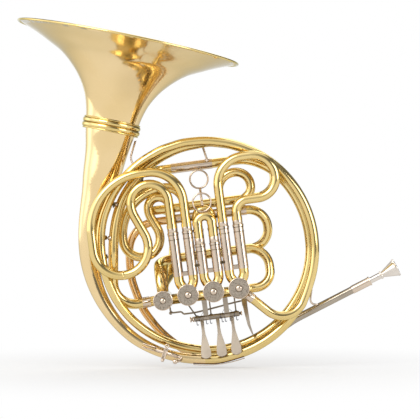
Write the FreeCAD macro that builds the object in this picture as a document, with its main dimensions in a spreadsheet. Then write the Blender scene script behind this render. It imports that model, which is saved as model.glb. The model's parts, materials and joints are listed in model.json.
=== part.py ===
import FreeCAD, Part

import math
import os

import Sketcher
from FreeCAD import Placement, Rotation, Vector

# Double french horn, in millimetres.
# The origin is the lowest point of the ring's centre line, where the left hand holds the horn.
# +X runs towards the mouthpiece, +Z up, and the valve caps face -Y.

doc = FreeCAD.newDocument("double_horn")
sheet = doc.addObject("Spreadsheet::Sheet", "Sizes")

values = [
    # The ring and the plane of the bell
    ("ring_radius", 150),
    ("bell_depth", 22),
    ("front_ring_depth", -1.2),
    ("ring_depth", 12.5),
    ("inner_ring_depth", 26),
    ("lead_depth", 38.5),
    # The bell
    ("bell_radius", 155),
    ("bell_length", 116.4),
    ("bell_tilt", 11.4),
    ("bell_wall", 0.5),
    ("rim_wire", 1.7),
    ("collar_radius", 39.5),
    ("collar_wall", 2.2),
    ("collar_height", 16),
    ("collar_lap", 5),
    ("tail_collar_height", 9),
    ("collar_bead", 1.3),
    ("thread_gap", 0.3),
    # Tubes
    ("tube_radius", 6.3),
    ("tube_wall", 0.5),
    ("sleeve_wall", 0.45),
    ("slide_gap", 0.05),
    ("branch_radius", 6.9),
    ("ring_tube_radius", 6.1),
    ("return_radius", 5.5),
    ("lead_radius", 5.1),
    ("ferrule_wall", 0.6),
    ("ferrule_length", 7),
    ("seat_gap", 0.3),
    # The row of valves
    ("row_x", 11.2),
    ("row_z", 94),
    ("row_tilt", 7.5),
    ("valve_pitch", 34.8),
    ("change_drop", 3.3),
    ("front_level", -14.8),
    ("back_level", 26.5),
    ("casing_radius", 13),
    ("casing_wall", 2),
    ("casing_front", 27),
    ("casing_back", 39),
    ("change_back", 48),
    ("port_drop", 4),
    ("rotor_gap", 0.05),
    ("rotor_end_gap", 0.4),
    ("cap_radius", 14.5),
    ("change_cap_radius", 13.2),
    ("cap_height", 4),
    ("cap_dome", 1.6),
    ("plate_height", 3),
    ("spindle_radius", 3.5),
    ("spindle_length", 6.5),
    ("arm_width", 5),
    ("arm_height", 2.4),
    ("arm_reach", 9),
    ("pin_radius", 1),
    ("pin_length", 8),
    ("cork_radius", 2.2),
    ("cork_length", 3.2),
    # Legs and loops of the valve slides
    ("leg_gap", 20),
    ("knuckle_height", 17),
    ("sleeve_start", 26),
    ("sleeve_top", 86),
    ("short_sleeve_top", 66),
    ("leg_top", 92),
    ("slide_overlap", 60),
    # The main slide and the F slide
    ("main_upper", 104),
    ("main_lower", 50.3),
    ("main_end", 52),
    ("main_overlap", 52),
    ("feed_level", 119.5),
    ("top_level", 174),
    ("first_depth", 40.3),
    ("second_depth", 53.5),
    ("third_depth", 66),
    ("feed_depth", 44),
    ("top_front_depth", 40),
    ("top_back_depth", 61),
    # Keywork
    ("hinge_drop", 35.2),
    ("hinge_depth", 8),
    ("hinge_radius", 2),
    ("hinge_gap", 0.05),
    ("hub_radius", 3.6),
    ("hub_length", 11),
    ("lever_thickness", 1.8),
    ("lever_arm", 40.5),
    ("lever_lean", 26),
    ("paddle_length", 60),
    ("ball_radius", 2.4),
    ("link_radius", 1),
    ("spring_wire", 0.25),
    ("spring_gap", 0.42),
    ("eye_inner", 2.9),
    ("eye_outer", 4.4),
    ("eye_height", 1.6),
    ("paddle_width", 13.7),
    ("stem_width", 5.2),
    ("post_width", 6.8),
    ("post_thickness", 4),
    ("knob_radius", 3.6),
    ("thumb_arm", 38),
    ("thumb_u", 40),
    ("thumb_drop", 20),
    ("thumb_width", 6.5),
    ("thumb_length", 46),
    # Mouthpiece and receiver
    ("cup_radius", 12.85),
    ("cup_length", 26),
    ("mouthpiece_length", 65),
    ("shank_radius", 4.3),
    ("shank_end_radius", 3.7),
    ("throat_radius", 2.3),
    ("receiver_radius", 5.8),
    ("receiver_length", 28),
    ("shank_reach", 24),
    # Fittings
    ("wire_radius", 1.3),
    ("brace_radius", 1.5),
    ("foot_radius", 4),
    ("foot_height", 1),
    ("ring_pull_radius", 12.4),
    ("pull_wire", 1.25),
    ("hook_rod_radius", 2.6),
    ("hook_wire", 2.2),
    ("hook_length", 26),
    ("hook_ball", 4.6),
    ("clamp_width", 9),
    ("clamp_height", 7),
    ("clamp_length", 13),
    ("clamp_screw_radius", 1.5),
    ("guard_width", 9),
    ("guard_thickness", 0.8),
]

for row, (name, number) in enumerate(values, start=1):
    sheet.set("A%d" % row, name)
    sheet.set("B%d" % row, str(number))
    sheet.setAlias("B%d" % row, name)
doc.recompute()


class Size:
    # A number of the sheet together with the formula that it comes from

    def __init__(self, number, formula):
        self.number = number
        self.formula = formula

    def __float__(self):
        return float(self.number)

    def joined(self, other, sign, number, swapped=False):
        formula = other.formula if isinstance(other, Size) else repr(float(other))
        pair = (formula, self.formula) if swapped else (self.formula, formula)
        return Size(number, "(%s %s %s)" % (pair[0], sign, pair[1]))

    def __add__(self, other):
        return self.joined(other, "+", self.number + float(other))

    def __radd__(self, other):
        return self.joined(other, "+", float(other) + self.number, True)

    def __sub__(self, other):
        return self.joined(other, "-", self.number - float(other))

    def __rsub__(self, other):
        return self.joined(other, "-", float(other) - self.number, True)

    def __mul__(self, other):
        return self.joined(other, "*", self.number * float(other))

    def __rmul__(self, other):
        return self.joined(other, "*", float(other) * self.number, True)

    def __truediv__(self, other):
        return self.joined(other, "/", self.number / float(other))

    def __neg__(self):
        return self * -1


class Sizes:
    pass


size = Sizes()
for name, number in values:
    setattr(size, name, Size(sheet.get(name), "Sizes." + name))

none = Size(0.0, "0")
nodes = {}


# Working frames

row_place = Placement(
    Vector(size.row_x, 0, size.row_z), Rotation(Vector(0, 1, 0), -float(size.row_tilt))
)
along_y = Rotation(Vector(1, 0, 0), -90)
against_y = Rotation(Vector(1, 0, 0), 90)


def unit(vector):
    return vector / vector.Length


def turn_to(direction):
    return Rotation(Vector(0, 0, 1), Vector(direction))


def in_row(u, y, v, rotation=None):
    # A place in the tilted frame of the valves
    return row_place.multiply(Placement(Vector(u, y, v), rotation or Rotation()))


def row_point(u, y, v):
    return row_place.multVec(Vector(u, y, v))


def row_direction(u, y, v):
    return row_place.Rotation.multVec(Vector(u, y, v))


def ring_point(angle, radius_share, depth):
    # A point at an angle about the ring's centre, its radius as a share of the ring's
    reach = size.ring_radius * radius_share
    turn = math.radians(angle)
    return Vector(
        float(reach) * math.cos(turn), depth, float(size.ring_radius) + float(reach) * math.sin(turn)
    )


def ring_run(stations, step=12):
    # Points along the ring between stations of angle, radius share and depth
    points = []
    for (angle, share, depth), (angle_to, share_to, depth_to) in zip(stations, stations[1:]):
        parts = max(1, round(abs(angle_to - angle) / step))
        for part in range(parts):
            t = part / parts
            points.append(
                ring_point(
                    angle + t * (angle_to - angle),
                    share + t * (share_to - share),
                    float(depth) + t * (float(depth_to) - float(depth)),
                )
            )
    last = stations[-1]
    points.append(ring_point(last[0], last[1], float(last[2])))
    return points


def plane_point(x_share, z_share, depth):
    # A point beside the ring's centre, as shares of the ring's radius
    return Vector(size.ring_radius * x_share, depth, size.ring_radius + size.ring_radius * z_share)


# Builders

bend_share = 0.48
soldered_bow_share = 0.6


def route_edges(points, radii=None):
    # Straight runs joined by tangent arcs; an arc with no radius given is as large as its runs allow
    radii = radii or {}
    edges = []
    start = points[0]
    for index in range(1, len(points) - 1):
        before = points[index] - points[index - 1]
        after = points[index + 1] - points[index]
        way_in = unit(before)
        way_out = unit(after)
        turn = way_in.getAngle(way_out)
        if turn < 1e-4:
            continue
        if index in radii:
            reach = float(radii[index]) * math.tan(turn / 2)
        else:
            reach = bend_share * min(before.Length, after.Length)
        radius = reach / math.tan(turn / 2)
        enter = points[index] - way_in * reach
        leave = points[index] + way_out * reach
        inward = unit(way_out - way_in)
        middle = points[index] + inward * (radius / math.cos(turn / 2) - radius)
        if (enter - start).Length > 1e-4:
            edges.append(Part.LineSegment(start, enter).toShape())
        edges.append(Part.Arc(enter, middle, leave).toShape())
        start = leave
    if (points[-1] - start).Length > 1e-4:
        edges.append(Part.LineSegment(start, points[-1]).toShape())
    return edges


def route(points, radii=None):
    return Part.Wire(route_edges(points, radii))


def disc(center, direction, radius):
    return Part.Wire(Part.Circle(center, direction, float(radius)).toShape())


def pipe(points, radius, bore=None, radii=None):
    wire = route(points, radii)
    way = points[1] - points[0]
    profile = Part.Face(disc(points[0], way, radius))
    area = math.pi * float(radius) ** 2
    if bore:
        profile = profile.cut(Part.Face(disc(points[0], way, bore))).Faces[0]
        area -= math.pi * float(bore) ** 2
    shape = wire.makePipe(profile)
    if abs(shape.Volume / (area * wire.Length) - 1) > 0.01:
        raise RuntimeError("a pipe does not hold its volume")
    return shape


def edge_point(edge, share):
    return edge.valueAt(edge.FirstParameter + (edge.LastParameter - edge.FirstParameter) * share)


def bow_of(edges):
    # How far a run of edges leaves the straight line between its ends
    start = edge_point(edges[0], 0)
    way = unit(edge_point(edges[-1], 1) - start)
    spots = [edge_point(edge, share) for edge in edges for share in (0, 0.5, 1)]
    return max((spot - start).cross(way).Length for spot in spots)


def eased(edge, limit):
    # An arc that bends too far is parted into equal shorter ones
    parts = 1
    if isinstance(edge.Curve, Part.Circle):
        swept = edge.LastParameter - edge.FirstParameter
        while edge.Curve.Radius * (1 - math.cos(swept / parts / 2)) > limit:
            parts += 1
    step = (edge.LastParameter - edge.FirstParameter) / parts
    first = edge.FirstParameter
    return [edge.Curve.toShape(first + step * part, first + step * (part + 1)) for part in range(parts)]


def soldered(points, radius, bore, radii=None):
    # A tube in lengths that bend little, soldered end to end
    limit = float(radius) * soldered_bow_share
    runs = [[]]
    for edge in route_edges(points, radii):
        for length in eased(edge, limit):
            if runs[-1] and bow_of(runs[-1] + [length]) > limit:
                runs.append([])
            runs[-1].append(length)
    shapes = []
    for run in runs:
        start = edge_point(run[0], 0)
        way = run[0].tangentAt(run[0].FirstParameter)
        profile = Part.Face(disc(start, way, radius)).cut(Part.Face(disc(start, way, bore))).Faces[0]
        shapes.append(Part.Wire(run).makePipe(profile))
    return shapes


def tube(points, radius, radii=None):
    return pipe(points, radius, radius - size.tube_wall, radii)


def keep(label, item):
    item.Label = label
    nodes[label] = item
    return item


def shaped(label, shape):
    # A piece whose form only Part's own functions give
    item = doc.addObject("Part::Feature", label)
    item.Shape = shape
    return keep(label, item)


def group(shapes):
    return Part.makeCompound(list(shapes))


def turned(name, outline, place=None):
    # A body turned about its own Z axis from a closed outline of radius and height
    body = doc.addObject("PartDesign::Body", name)
    sketch = body.newObject("Sketcher::SketchObject", name + "_outline")
    plane = [item for item in body.Origin.OriginFeatures if item.Role == "XZ_Plane"][0]
    sketch.AttachmentSupport = (plane, [""])
    sketch.MapMode = "FlatFace"
    corners = [Vector(radius, height, 0) for radius, height in outline]
    for start, end in zip(corners, corners[1:] + corners[:1]):
        sketch.addGeometry(Part.LineSegment(start, end), False)
    count = len(corners)
    for index in range(count):
        sketch.addConstraint(Sketcher.Constraint("Coincident", index, 2, (index + 1) % count, 1))
    for index, (radius, height) in enumerate(outline):
        for kind, axis, length in (("DistanceX", -2, radius), ("DistanceY", -1, height)):
            if abs(float(length)) < 1e-9:
                sketch.addConstraint(Sketcher.Constraint("PointOnObject", index, 1, axis))
            else:
                place_of = sketch.addConstraint(Sketcher.Constraint(kind, -1, 1, index, 1, float(length)))
                sketch.setExpression("Constraints[%d]" % place_of, length.formula)
    feature = body.newObject("PartDesign::Revolution", name + "_turning")
    feature.Profile = sketch
    feature.ReferenceAxis = (sketch, ["V_Axis"])
    feature.Angle = 360
    if place:
        body.Placement = place
    return body


def cylinder(name, radius, height, place=None):
    item = doc.addObject("Part::Cylinder", name)
    item.setExpression("Radius", radius.formula)
    item.setExpression("Height", height.formula)
    if place:
        item.Placement = place
    return item


def ball(name, radius, place):
    item = doc.addObject("Part::Sphere", name)
    item.setExpression("Radius", radius.formula)
    item.Placement = place
    return item


def hoop(name, radius, wire, place):
    item = doc.addObject("Part::Torus", name)
    item.setExpression("Radius1", radius.formula)
    item.setExpression("Radius2", wire.formula)
    item.Placement = place
    return item


def block(name, length, width, height, place):
    item = doc.addObject("Part::Box", name)
    item.setExpression("Length", length.formula)
    item.setExpression("Width", width.formula)
    item.setExpression("Height", height.formula)
    item.Placement = place
    return item


def fused(name, items):
    item = doc.addObject("Part::MultiFuse", name)
    item.Shapes = items
    return item


def cut(name, base, tool):
    item = doc.addObject("Part::Cut", name)
    item.Base = base
    item.Tool = tool
    return item


def gathered(label, items):
    # Separate pieces that share one node
    item = doc.addObject("Part::Compound", label)
    item.Links = items
    return keep(label, item)


# Bell

bell_axis_turn = Rotation(Vector(0, 1, 0), float(size.bell_tilt))
collar_x_share = -0.8607
collar_z_share = 1.1384
bell_place = Placement(plane_point(collar_x_share, collar_z_share, size.bell_depth), bell_axis_turn)

flare_outline_shares = [
    (0.236, 0.0),
    (0.243, 0.084),
    (0.258, 0.179),
    (0.286, 0.296),
    (0.330, 0.413),
    (0.392, 0.531),
    (0.476, 0.648),
    (0.590, 0.765),
    (0.679, 0.824),
    (0.766, 0.882),
    (0.875, 0.944),
    (0.985, 1.0),
]


def outline_curve(points):
    curve = Part.BSplineCurve()
    curve.interpolate(points)
    return curve


def flare_shape():
    outer = outline_curve(
        [
            Vector(size.bell_radius * radius, 0, size.bell_length * height)
            for radius, height in flare_outline_shares
        ]
    )
    first = outer.FirstParameter
    last = outer.LastParameter
    inner_points = []
    for index in range(len(flare_outline_shares)):
        at = first + (last - first) * index / (len(flare_outline_shares) - 1)
        along = unit(outer.tangent(at)[0])
        inner_points.append(outer.value(at) + Vector(-along.z, 0, along.x) * float(size.bell_wall))
    inner = outline_curve(inner_points)
    edges = [
        outer.toShape(),
        Part.LineSegment(outer.EndPoint, inner.EndPoint).toShape(),
        inner.toShape(),
        Part.LineSegment(inner.StartPoint, outer.StartPoint).toShape(),
    ]
    face = Part.Face(Part.Wire(Part.__sortEdges__(edges)))
    shape = face.revolve(Vector(0, 0, 0), Vector(0, 0, 1), 360)
    return Part.Solid(shape) if shape.ShapeType == "Shell" else shape


flare = flare_shape()
flare.Placement = bell_place
shaped("bell_flare", flare)

keep(
    "bell_rim",
    cut(
        "bell_rim",
        hoop(
            "rim_hoop",
            size.bell_radius - size.rim_wire,
            size.rim_wire,
            bell_place.multiply(Placement(Vector(0, 0, size.bell_length), Rotation())),
        ),
        nodes["bell_flare"],
    ),
)

collar_inner = size.collar_radius - size.collar_wall
collar_top_share = 0.2465
keep(
    "bell_collar",
    turned(
        "bell_collar",
        [
            (collar_inner, -size.collar_lap),
            (size.collar_radius - size.collar_bead, -size.collar_lap),
            (size.collar_radius, -size.collar_lap + size.collar_bead),
            (size.collar_radius, none),
            (size.collar_radius - size.collar_bead, size.collar_bead),
            (size.collar_radius - size.collar_bead, size.collar_bead * 2),
            (size.collar_radius, size.collar_bead * 3),
            (size.collar_radius, size.collar_height - size.collar_lap - size.collar_bead),
            (size.collar_radius - size.collar_bead / 2, size.collar_height - size.collar_lap),
            (size.bell_radius * collar_top_share, size.collar_height - size.collar_lap),
            (collar_inner, none),
        ],
        bell_place,
    ),
)

neck_outer = collar_inner - size.thread_gap
neck_inner = neck_outer - size.collar_wall
tail_collar_top = -size.collar_lap - size.thread_gap
tail_collar_foot = tail_collar_top - size.tail_collar_height
neck_top = -size.thread_gap - size.thread_gap
keep(
    "tail_collar",
    turned(
        "tail_collar",
        [
            (neck_inner, tail_collar_foot),
            (size.collar_radius - size.collar_bead * 2, tail_collar_foot),
            (size.collar_radius - size.collar_bead, tail_collar_foot + size.collar_bead),
            (size.collar_radius - size.collar_bead, tail_collar_top - size.collar_bead),
            (size.collar_radius - size.collar_bead * 2, tail_collar_top),
            (neck_outer, tail_collar_top),
            (neck_outer, neck_top),
            (neck_inner, neck_top),
        ],
        bell_place,
    ),
)

# The tail: centre line about the ring's centre and half its width, as shares of the ring's radius
tail_straight_shares = [
    (-0.8695, 1.095, 0.2295),
    (-0.8797, 1.045, 0.2225),
    (-0.904, 0.911, 0.198),
    (-0.959, 0.637, 0.1685),
    (-1.0, 0.455, 0.1412),
]
tail_curve_shares = [
    (165.3, 1.077, 0.1184),
    (175.1, 1.069, 0.1002),
    (186, 1.063, 0.0862),
    (196, 1.058, 0.0738),
    (209, 1.050, 0.0615),
    (225, 1.042, 0.0528),
    (240, 1.028, 0.048),
    (255, 1.010, 0.0465),
    (264, 1.001, 0.046),
    (270, 1.0, 0.046),
]
tail_level_angle = 180
tail_join_angle = 255


def between(first, second, share):
    return first + (second - first) * max(0, min(1, share))


def tail_depth(angle):
    share = (angle - tail_level_angle) / (tail_join_angle - tail_level_angle)
    return between(size.bell_depth, size.ring_depth, share)


def tail_shape():
    centers = [plane_point(x, z, size.bell_depth) for x, z, reach in tail_straight_shares]
    centers += [ring_point(angle, share, tail_depth(angle)) for angle, share, reach in tail_curve_shares]
    reaches = [reach for x, z, reach in tail_straight_shares]
    reaches += [reach for angle, share, reach in tail_curve_shares]
    ways = []
    for index in range(len(centers)):
        before = centers[max(0, index - 1)]
        after = centers[min(len(centers) - 1, index + 1)]
        ways.append(unit(after - before))
    ways[-1] = Vector(1, 0, 0)
    shells = []
    for wall in (0.0, float(size.bell_wall)):
        wires = [
            disc(center, way, float(size.ring_radius * reach) - wall)
            for center, way, reach in zip(centers, ways, reaches)
        ]
        shells.append(Part.makeLoft(wires, True, False))
    return shells[0].cut(shells[1])


shaped("bell_tail", tail_shape())


# Places of the valves

valve_places = {
    "valve1": (size.valve_pitch, none),
    "valve2": (none, none),
    "valve3": (-size.valve_pitch, none),
    "change": (-size.valve_pitch * 2, -size.change_drop),
}
change_u, change_v = valve_places["change"]
port_share = 0.3
casing_ends = {name: (size.casing_front, size.casing_back) for name in valve_places}
casing_ends["change"] = (size.casing_front, size.change_back)


def port(valve, angle, level):
    # The end of a tube that enters a casing, at an angle from the row's own direction
    u, v = valve_places[valve]
    turn = math.radians(angle)
    reach = size.casing_radius * port_share
    return row_point(float(u + reach * math.cos(turn)), level, float(v + reach * math.sin(turn)))


def casing_core(valve, radius):
    u, v = valve_places[valve]
    front, back = casing_ends[valve]
    core = Part.makeCylinder(float(radius), float(front + back))
    core.Placement = in_row(u, -front, v, along_y)
    return core


def let_in(shape, *valves):
    # A tube ends on the outer wall of each casing that it enters
    for valve in valves:
        shape = shape.cut(casing_core(valve, size.casing_radius))
    return shape


# Ring tubes


def halves(points, index):
    # One route shared by two pieces that meet in the middle of a run
    middle = (points[index] + points[index + 1]) / 2
    return points[: index + 1] + [middle], [middle] + points[index + 1 :]


branch_corner_shares = (-0.842, -0.535)
branch_corner_share = 0.2
branch_end_shares = [(0.0985, -1.0), (0.0, -1.0)]
branch_ring = [
    (187, 0.848, size.ring_depth),
    (174, 0.845, size.ring_depth),
    (161.5, 0.862, size.ring_depth),
    (149, 0.888, size.ring_depth),
    (135.5, 0.909, size.ring_depth),
    (116, 0.946, size.ring_depth),
    (104, 0.968, size.ring_depth),
    (88, 0.992, size.ring_depth),
    (66, 1.0, size.ring_depth),
    (0, 1.0, size.ring_depth),
    (-90, 1.0, size.ring_depth),
]
branch_corner = plane_point(
    branch_corner_shares[0], branch_corner_shares[1], between(size.back_level, size.ring_depth, 0.6)
)
branch_points = [
    port("change", 180, size.back_level),
    branch_corner,
] + ring_run(branch_ring)[:-1]
branch_points += [plane_point(x, z, size.ring_depth) for x, z in branch_end_shares]
change_branch_points, bell_branch_points = halves(branch_points, 10)
corner_radius = size.ring_radius * branch_corner_share


def branch_tube(points, radii=None):
    return pipe(points, size.branch_radius, size.branch_radius - size.tube_wall, radii)


branch_lengths = soldered(
    change_branch_points, size.branch_radius, size.branch_radius - size.tube_wall, {1: corner_radius}
)
shaped("change_branch", let_in(group(branch_lengths), "change"))
shaped("bell_branch", branch_tube(bell_branch_points))

# The inner ring tube: from the F slide down the right side, under the bottom, up the left side
inner_ring = [
    (50, 0.962, size.inner_ring_depth),
    (0, 0.964, size.inner_ring_depth),
    (-90, 0.926, size.inner_ring_depth),
    (-105, 0.920, size.inner_ring_depth),
    (-135, 0.930, between(size.inner_ring_depth, size.front_ring_depth, 0.5)),
    (-165, 0.940, size.front_ring_depth),
    (-180, 0.953, size.front_ring_depth),
    (-198, 0.978, size.front_ring_depth),
    (-211, 0.988, size.front_ring_depth),
    (-234, 0.995, size.front_ring_depth),
    (-270, 0.998, size.front_ring_depth),
    (-300, 1.0, size.front_ring_depth),
    (-381, 1.0, size.front_ring_depth),
]
top_leg_end = size.ring_radius * 0.139
top_leg_bend = size.ring_radius * 0.47
inlet_corner_shares = (0.785, -0.726)
inlet_corner_share = 0.21
inlet_angle = -46
inner_points = [
    row_point(top_leg_end, size.top_front_depth, size.top_level),
    row_point(top_leg_bend, between(size.top_front_depth, size.inner_ring_depth, 0.2), size.top_level),
] + ring_run(inner_ring)
inner_points += [
    plane_point(
        inlet_corner_shares[0],
        inlet_corner_shares[1],
        between(size.front_ring_depth, size.front_level, 0.3),
    ),
    port("valve1", inlet_angle, size.front_level),
]
ring_tube_points, inlet_points = halves(inner_points, 26)
inlet_corner_index = len(inlet_points) - 2


def ring_tube(points, radii=None):
    return pipe(points, size.ring_tube_radius, size.ring_tube_radius - size.tube_wall, radii)


shaped("f_ring_tube", ring_tube(ring_tube_points))
inlet_bends = {inlet_corner_index: size.ring_radius * inlet_corner_share}
shaped("f_inlet_tube", let_in(ring_tube(inlet_points, inlet_bends), "valve1"))

# The lead pipe and the return tube
return_ring = [
    (-171, 0.708, size.first_depth),
    (-158, 0.734, size.first_depth),
    (-149, 0.750, size.first_depth),
    (-136, 0.800, size.first_depth),
    (-118.5, 0.867, size.lead_depth),
    (-104, 0.935, size.lead_depth),
    (-92, 0.985, size.lead_depth),
    (-80, 1.012, size.lead_depth),
]
lead_ring = [
    (-80, 1.012, size.lead_depth),
    (-68, 1.016, size.lead_depth),
    (-55, 1.018, size.lead_depth),
    (-41, 1.021, size.lead_depth),
]
receiver_shares = (1.376, -0.360)
return_corner_shares = (-0.699, 0.223)
main_left = -size.ring_radius * 0.34
return_corner_radius = size.ring_radius * 0.26
return_points = [
    row_point(main_left, size.first_depth, size.main_upper),
    plane_point(return_corner_shares[0], return_corner_shares[1], size.first_depth),
] + ring_run(return_ring)
lead_points = return_points[:-1] + ring_run(lead_ring)
lead_points.append(plane_point(receiver_shares[0], receiver_shares[1], size.lead_depth))
return_route, lead_route = halves(lead_points, len(return_points) - 3)
return_lengths = soldered(
    return_route, size.return_radius, size.return_radius - size.tube_wall, {1: return_corner_radius}
)
shaped("return_tube", group(return_lengths))
shaped("lead_pipe", pipe(lead_route, size.lead_radius, size.lead_radius - size.tube_wall))

# Casings, with a hole for each tube

half_gap = size.leg_gap / 2
leg_angle = math.degrees(math.atan2(float(size.knuckle_height), float(half_gap)))
levels = (size.front_level, size.back_level)
feed_port_level = size.change_back - size.tube_radius - size.casing_wall / 2


def radial_hole(name, valve, angle, level, drop=none):
    u, v = valve_places[valve]
    turn = math.radians(angle)
    way = Vector(math.cos(turn), 0, math.sin(turn))
    return cylinder(
        name,
        size.tube_radius - size.tube_wall,
        size.casing_radius * 2,
        in_row(u, level, v - drop, Rotation(Vector(0, 0, 1), way)),
    )


change_port_drop = size.port_drop - size.change_drop
casing_holes = {
    "valve1": [(leg_angle, level, none) for level in levels]
    + [(180 - leg_angle, level, none) for level in levels]
    + [(180, level, size.port_drop) for level in levels]
    + [(0, size.back_level, size.port_drop), (inlet_angle, size.front_level, none)],
    "change": [(0, level, change_port_drop) for level in levels]
    + [(180, size.back_level, none)]
    + [(90, level, none) for level in (size.front_level, size.back_level, feed_port_level)],
}
for valve in ("valve2", "valve3"):
    casing_holes[valve] = [
        (angle, level, drop)
        for level in levels
        for angle, drop in (
            (leg_angle, none),
            (180 - leg_angle, none),
            (0, size.port_drop),
            (180, size.port_drop),
        )
    ]

for valve, (u, v) in valve_places.items():
    front, back = casing_ends[valve]
    outside = cylinder(
        valve + "_outside", size.casing_radius, front + back, in_row(u, -front, v, along_y)
    )
    bore = cylinder(
        valve + "_bore",
        size.casing_radius - size.casing_wall,
        front + back + size.casing_wall * 2,
        in_row(u, -front - size.casing_wall, v, along_y),
    )
    holes = [
        radial_hole("%s_hole%d" % (valve, index), valve, angle, level, drop)
        for index, (angle, level, drop) in enumerate(casing_holes[valve])
    ]
    hollow = fused(valve + "_hollow", [bore] + holes)
    keep(valve + "_casing", cut(valve + "_casing", outside, hollow))

# Knuckles: short tubes from each casing to the next

knuckles = []
for left, right in (("change", "valve3"), ("valve3", "valve2"), ("valve2", "valve1")):
    for level in levels:
        ends = [row_point(valve_places[name][0], level, -size.port_drop) for name in (left, right)]
        knuckles.append(let_in(tube(ends, size.tube_radius), left, right))
shaped("knuckles", group(knuckles))

# Caps and bearing plates

cap_parts = []
plate_parts = []
rotor_radius = size.casing_radius - size.casing_wall - size.rotor_gap
for valve, (u, v) in valve_places.items():
    front, back = casing_ends[valve]
    radius = size.change_cap_radius if valve == "change" else size.cap_radius
    step = radius * 0.1
    cap_parts.append(
        turned(
            valve + "_cap",
            [
                (none, none),
                (radius - step / 2, none),
                (radius, step / 2),
                (radius, size.cap_height - step),
                (radius - step, size.cap_height),
                (radius * 0.62, size.cap_height + size.cap_dome * 0.35),
                (radius * 0.58, size.cap_height),
                (radius * 0.3, size.cap_height + size.cap_dome * 0.6),
                (radius * 0.22, size.cap_height + size.cap_dome * 0.6),
                (radius * 0.22, size.cap_height + size.cap_dome * 1.5),
                (none, size.cap_height + size.cap_dome * 1.7),
            ],
            in_row(u, -front, v, against_y),
        )
    )
    plate_parts.append(
        turned(
            valve + "_plate",
            [
                (size.spindle_radius + size.rotor_gap, none),
                (size.casing_radius, none),
                (size.casing_radius, size.plate_height * 0.6),
                (size.casing_radius - size.casing_wall, size.plate_height),
                (size.spindle_radius + size.rotor_gap, size.plate_height),
            ],
            in_row(u, back, v, along_y),
        )
    )
gathered("front_caps", cap_parts)
gathered("back_plates", plate_parts)

# Rotors, each with its air passages, spindle and stop arm

rest_angles = {"valve1": 225, "valve2": 225, "valve3": 225, "change": 315}
arm_seat = size.seat_gap
waist_margin = 1.2


def stop_arm(valve):
    # A flat arm on the spindle, with the pin that the link's eye goes round
    u, v = valve_places[valve]
    front, back = casing_ends[valve]
    turn = math.radians(rest_angles[valve])
    foot = back + size.plate_height + arm_seat
    hub = Part.makeCylinder(float(size.arm_width), float(size.arm_height))
    bar = Part.makeBox(float(size.arm_reach), float(size.arm_width), float(size.arm_height))
    bar.translate(Vector(0, -size.arm_width / 2, 0))
    tip = Part.makeCylinder(float(size.arm_width / 2), float(size.arm_height))
    tip.translate(Vector(size.arm_reach, 0, 0))
    pin = Part.makeCylinder(float(size.pin_radius), float(size.pin_length + size.arm_height))
    pin.translate(Vector(size.arm_reach, 0, 0))
    arm = hub.fuse([bar, tip, pin]).removeSplitter()
    # The arm's own X turns into its rest direction in the row, its own Z into +Y
    local = Placement(Vector(0, 0, 0), along_y).multiply(
        Placement(Vector(0, 0, 0), Rotation(Vector(0, 0, 1), -math.degrees(turn)))
    )
    arm.Placement = in_row(u, foot, v).multiply(local)
    return arm


for valve, (u, v) in valve_places.items():
    front, back = casing_ends[valve]
    length = front + back - size.rotor_end_gap * 2
    waist_start = front - size.rotor_end_gap + size.front_level + size.tube_radius * waist_margin
    waist_end = front - size.rotor_end_gap + size.back_level - size.tube_radius * waist_margin
    outline = [
        (none, none),
        (rotor_radius, none),
        (rotor_radius, waist_start),
        (size.spindle_radius * waist_margin, waist_start),
        (size.spindle_radius * waist_margin, waist_end),
        (rotor_radius, waist_end),
        (rotor_radius, length),
        (size.spindle_radius, length),
        (size.spindle_radius, length + size.spindle_length),
        (none, length + size.spindle_length),
    ]
    drum = turned(valve + "_drum", outline, in_row(u, -front + size.rotor_end_gap, v, along_y))
    scoops = []
    for index, level in enumerate(levels):
        for side, turn in enumerate((45, -135)):
            way = Rotation(Vector(0, 1, 0), -turn)
            place = in_row(u, level, v).multiply(Placement(Vector(0, 0, 0), way))
            place = place.multiply(Placement(Vector(rotor_radius, 0, -size.casing_radius), Rotation()))
            scoops.append(
                cylinder(
                    "%s_scoop%d%d" % (valve, index, side),
                    size.tube_radius - size.tube_wall,
                    size.casing_radius * 2,
                    place,
                )
            )
    passages = fused(valve + "_passages", scoops)
    carved = cut(valve + "_carved", drum, passages)
    arm = doc.addObject("Part::Feature", valve + "_arm")
    arm.Shape = stop_arm(valve).cut(
        Part.makeCylinder(
            float(size.spindle_radius),
            float(front + back) * 2,
            row_point(u, -front, v),
            Vector(0, 1, 0),
        )
    )
    gathered(valve + "_rotor", [carved, arm])

# Valve legs: a knuckle out of the casing and a fixed nickel sleeve for each leg of a slide

sleeve_radius = size.tube_radius + size.slide_gap + size.sleeve_wall
sleeve_bore = size.tube_radius + size.slide_gap
bar_share = 0.5


def sleeve(start, end):
    return pipe([start, end], sleeve_radius, sleeve_bore)


def ferrule(start, way, length, radius):
    # A short band round a tube
    band = Part.makeCylinder(float(radius + size.ferrule_wall), float(length), start, way)
    return band.cut(Part.makeCylinder(float(radius), float(length), start, way))


def leg_knuckle(valve, side, level):
    u, v = valve_places[valve]
    points = [
        row_point(u + half_gap * side * 0.2, level, size.knuckle_height * 0.2),
        row_point(u + half_gap * side, level, size.knuckle_height),
        row_point(u + half_gap * side, level, size.sleeve_start),
    ]
    return let_in(tube(points, size.tube_radius), valve)


def cross_bar(valve, level, height):
    # A flat bar soldered between the two legs
    u, v = valve_places[valve]
    bar = Part.makeBox(
        float(size.leg_gap - sleeve_radius * 2), float(size.stem_width * bar_share), float(size.stem_width)
    )
    bar.Placement = in_row(
        u - half_gap + sleeve_radius, level - size.stem_width * bar_share / 2, height
    )
    return bar


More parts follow.
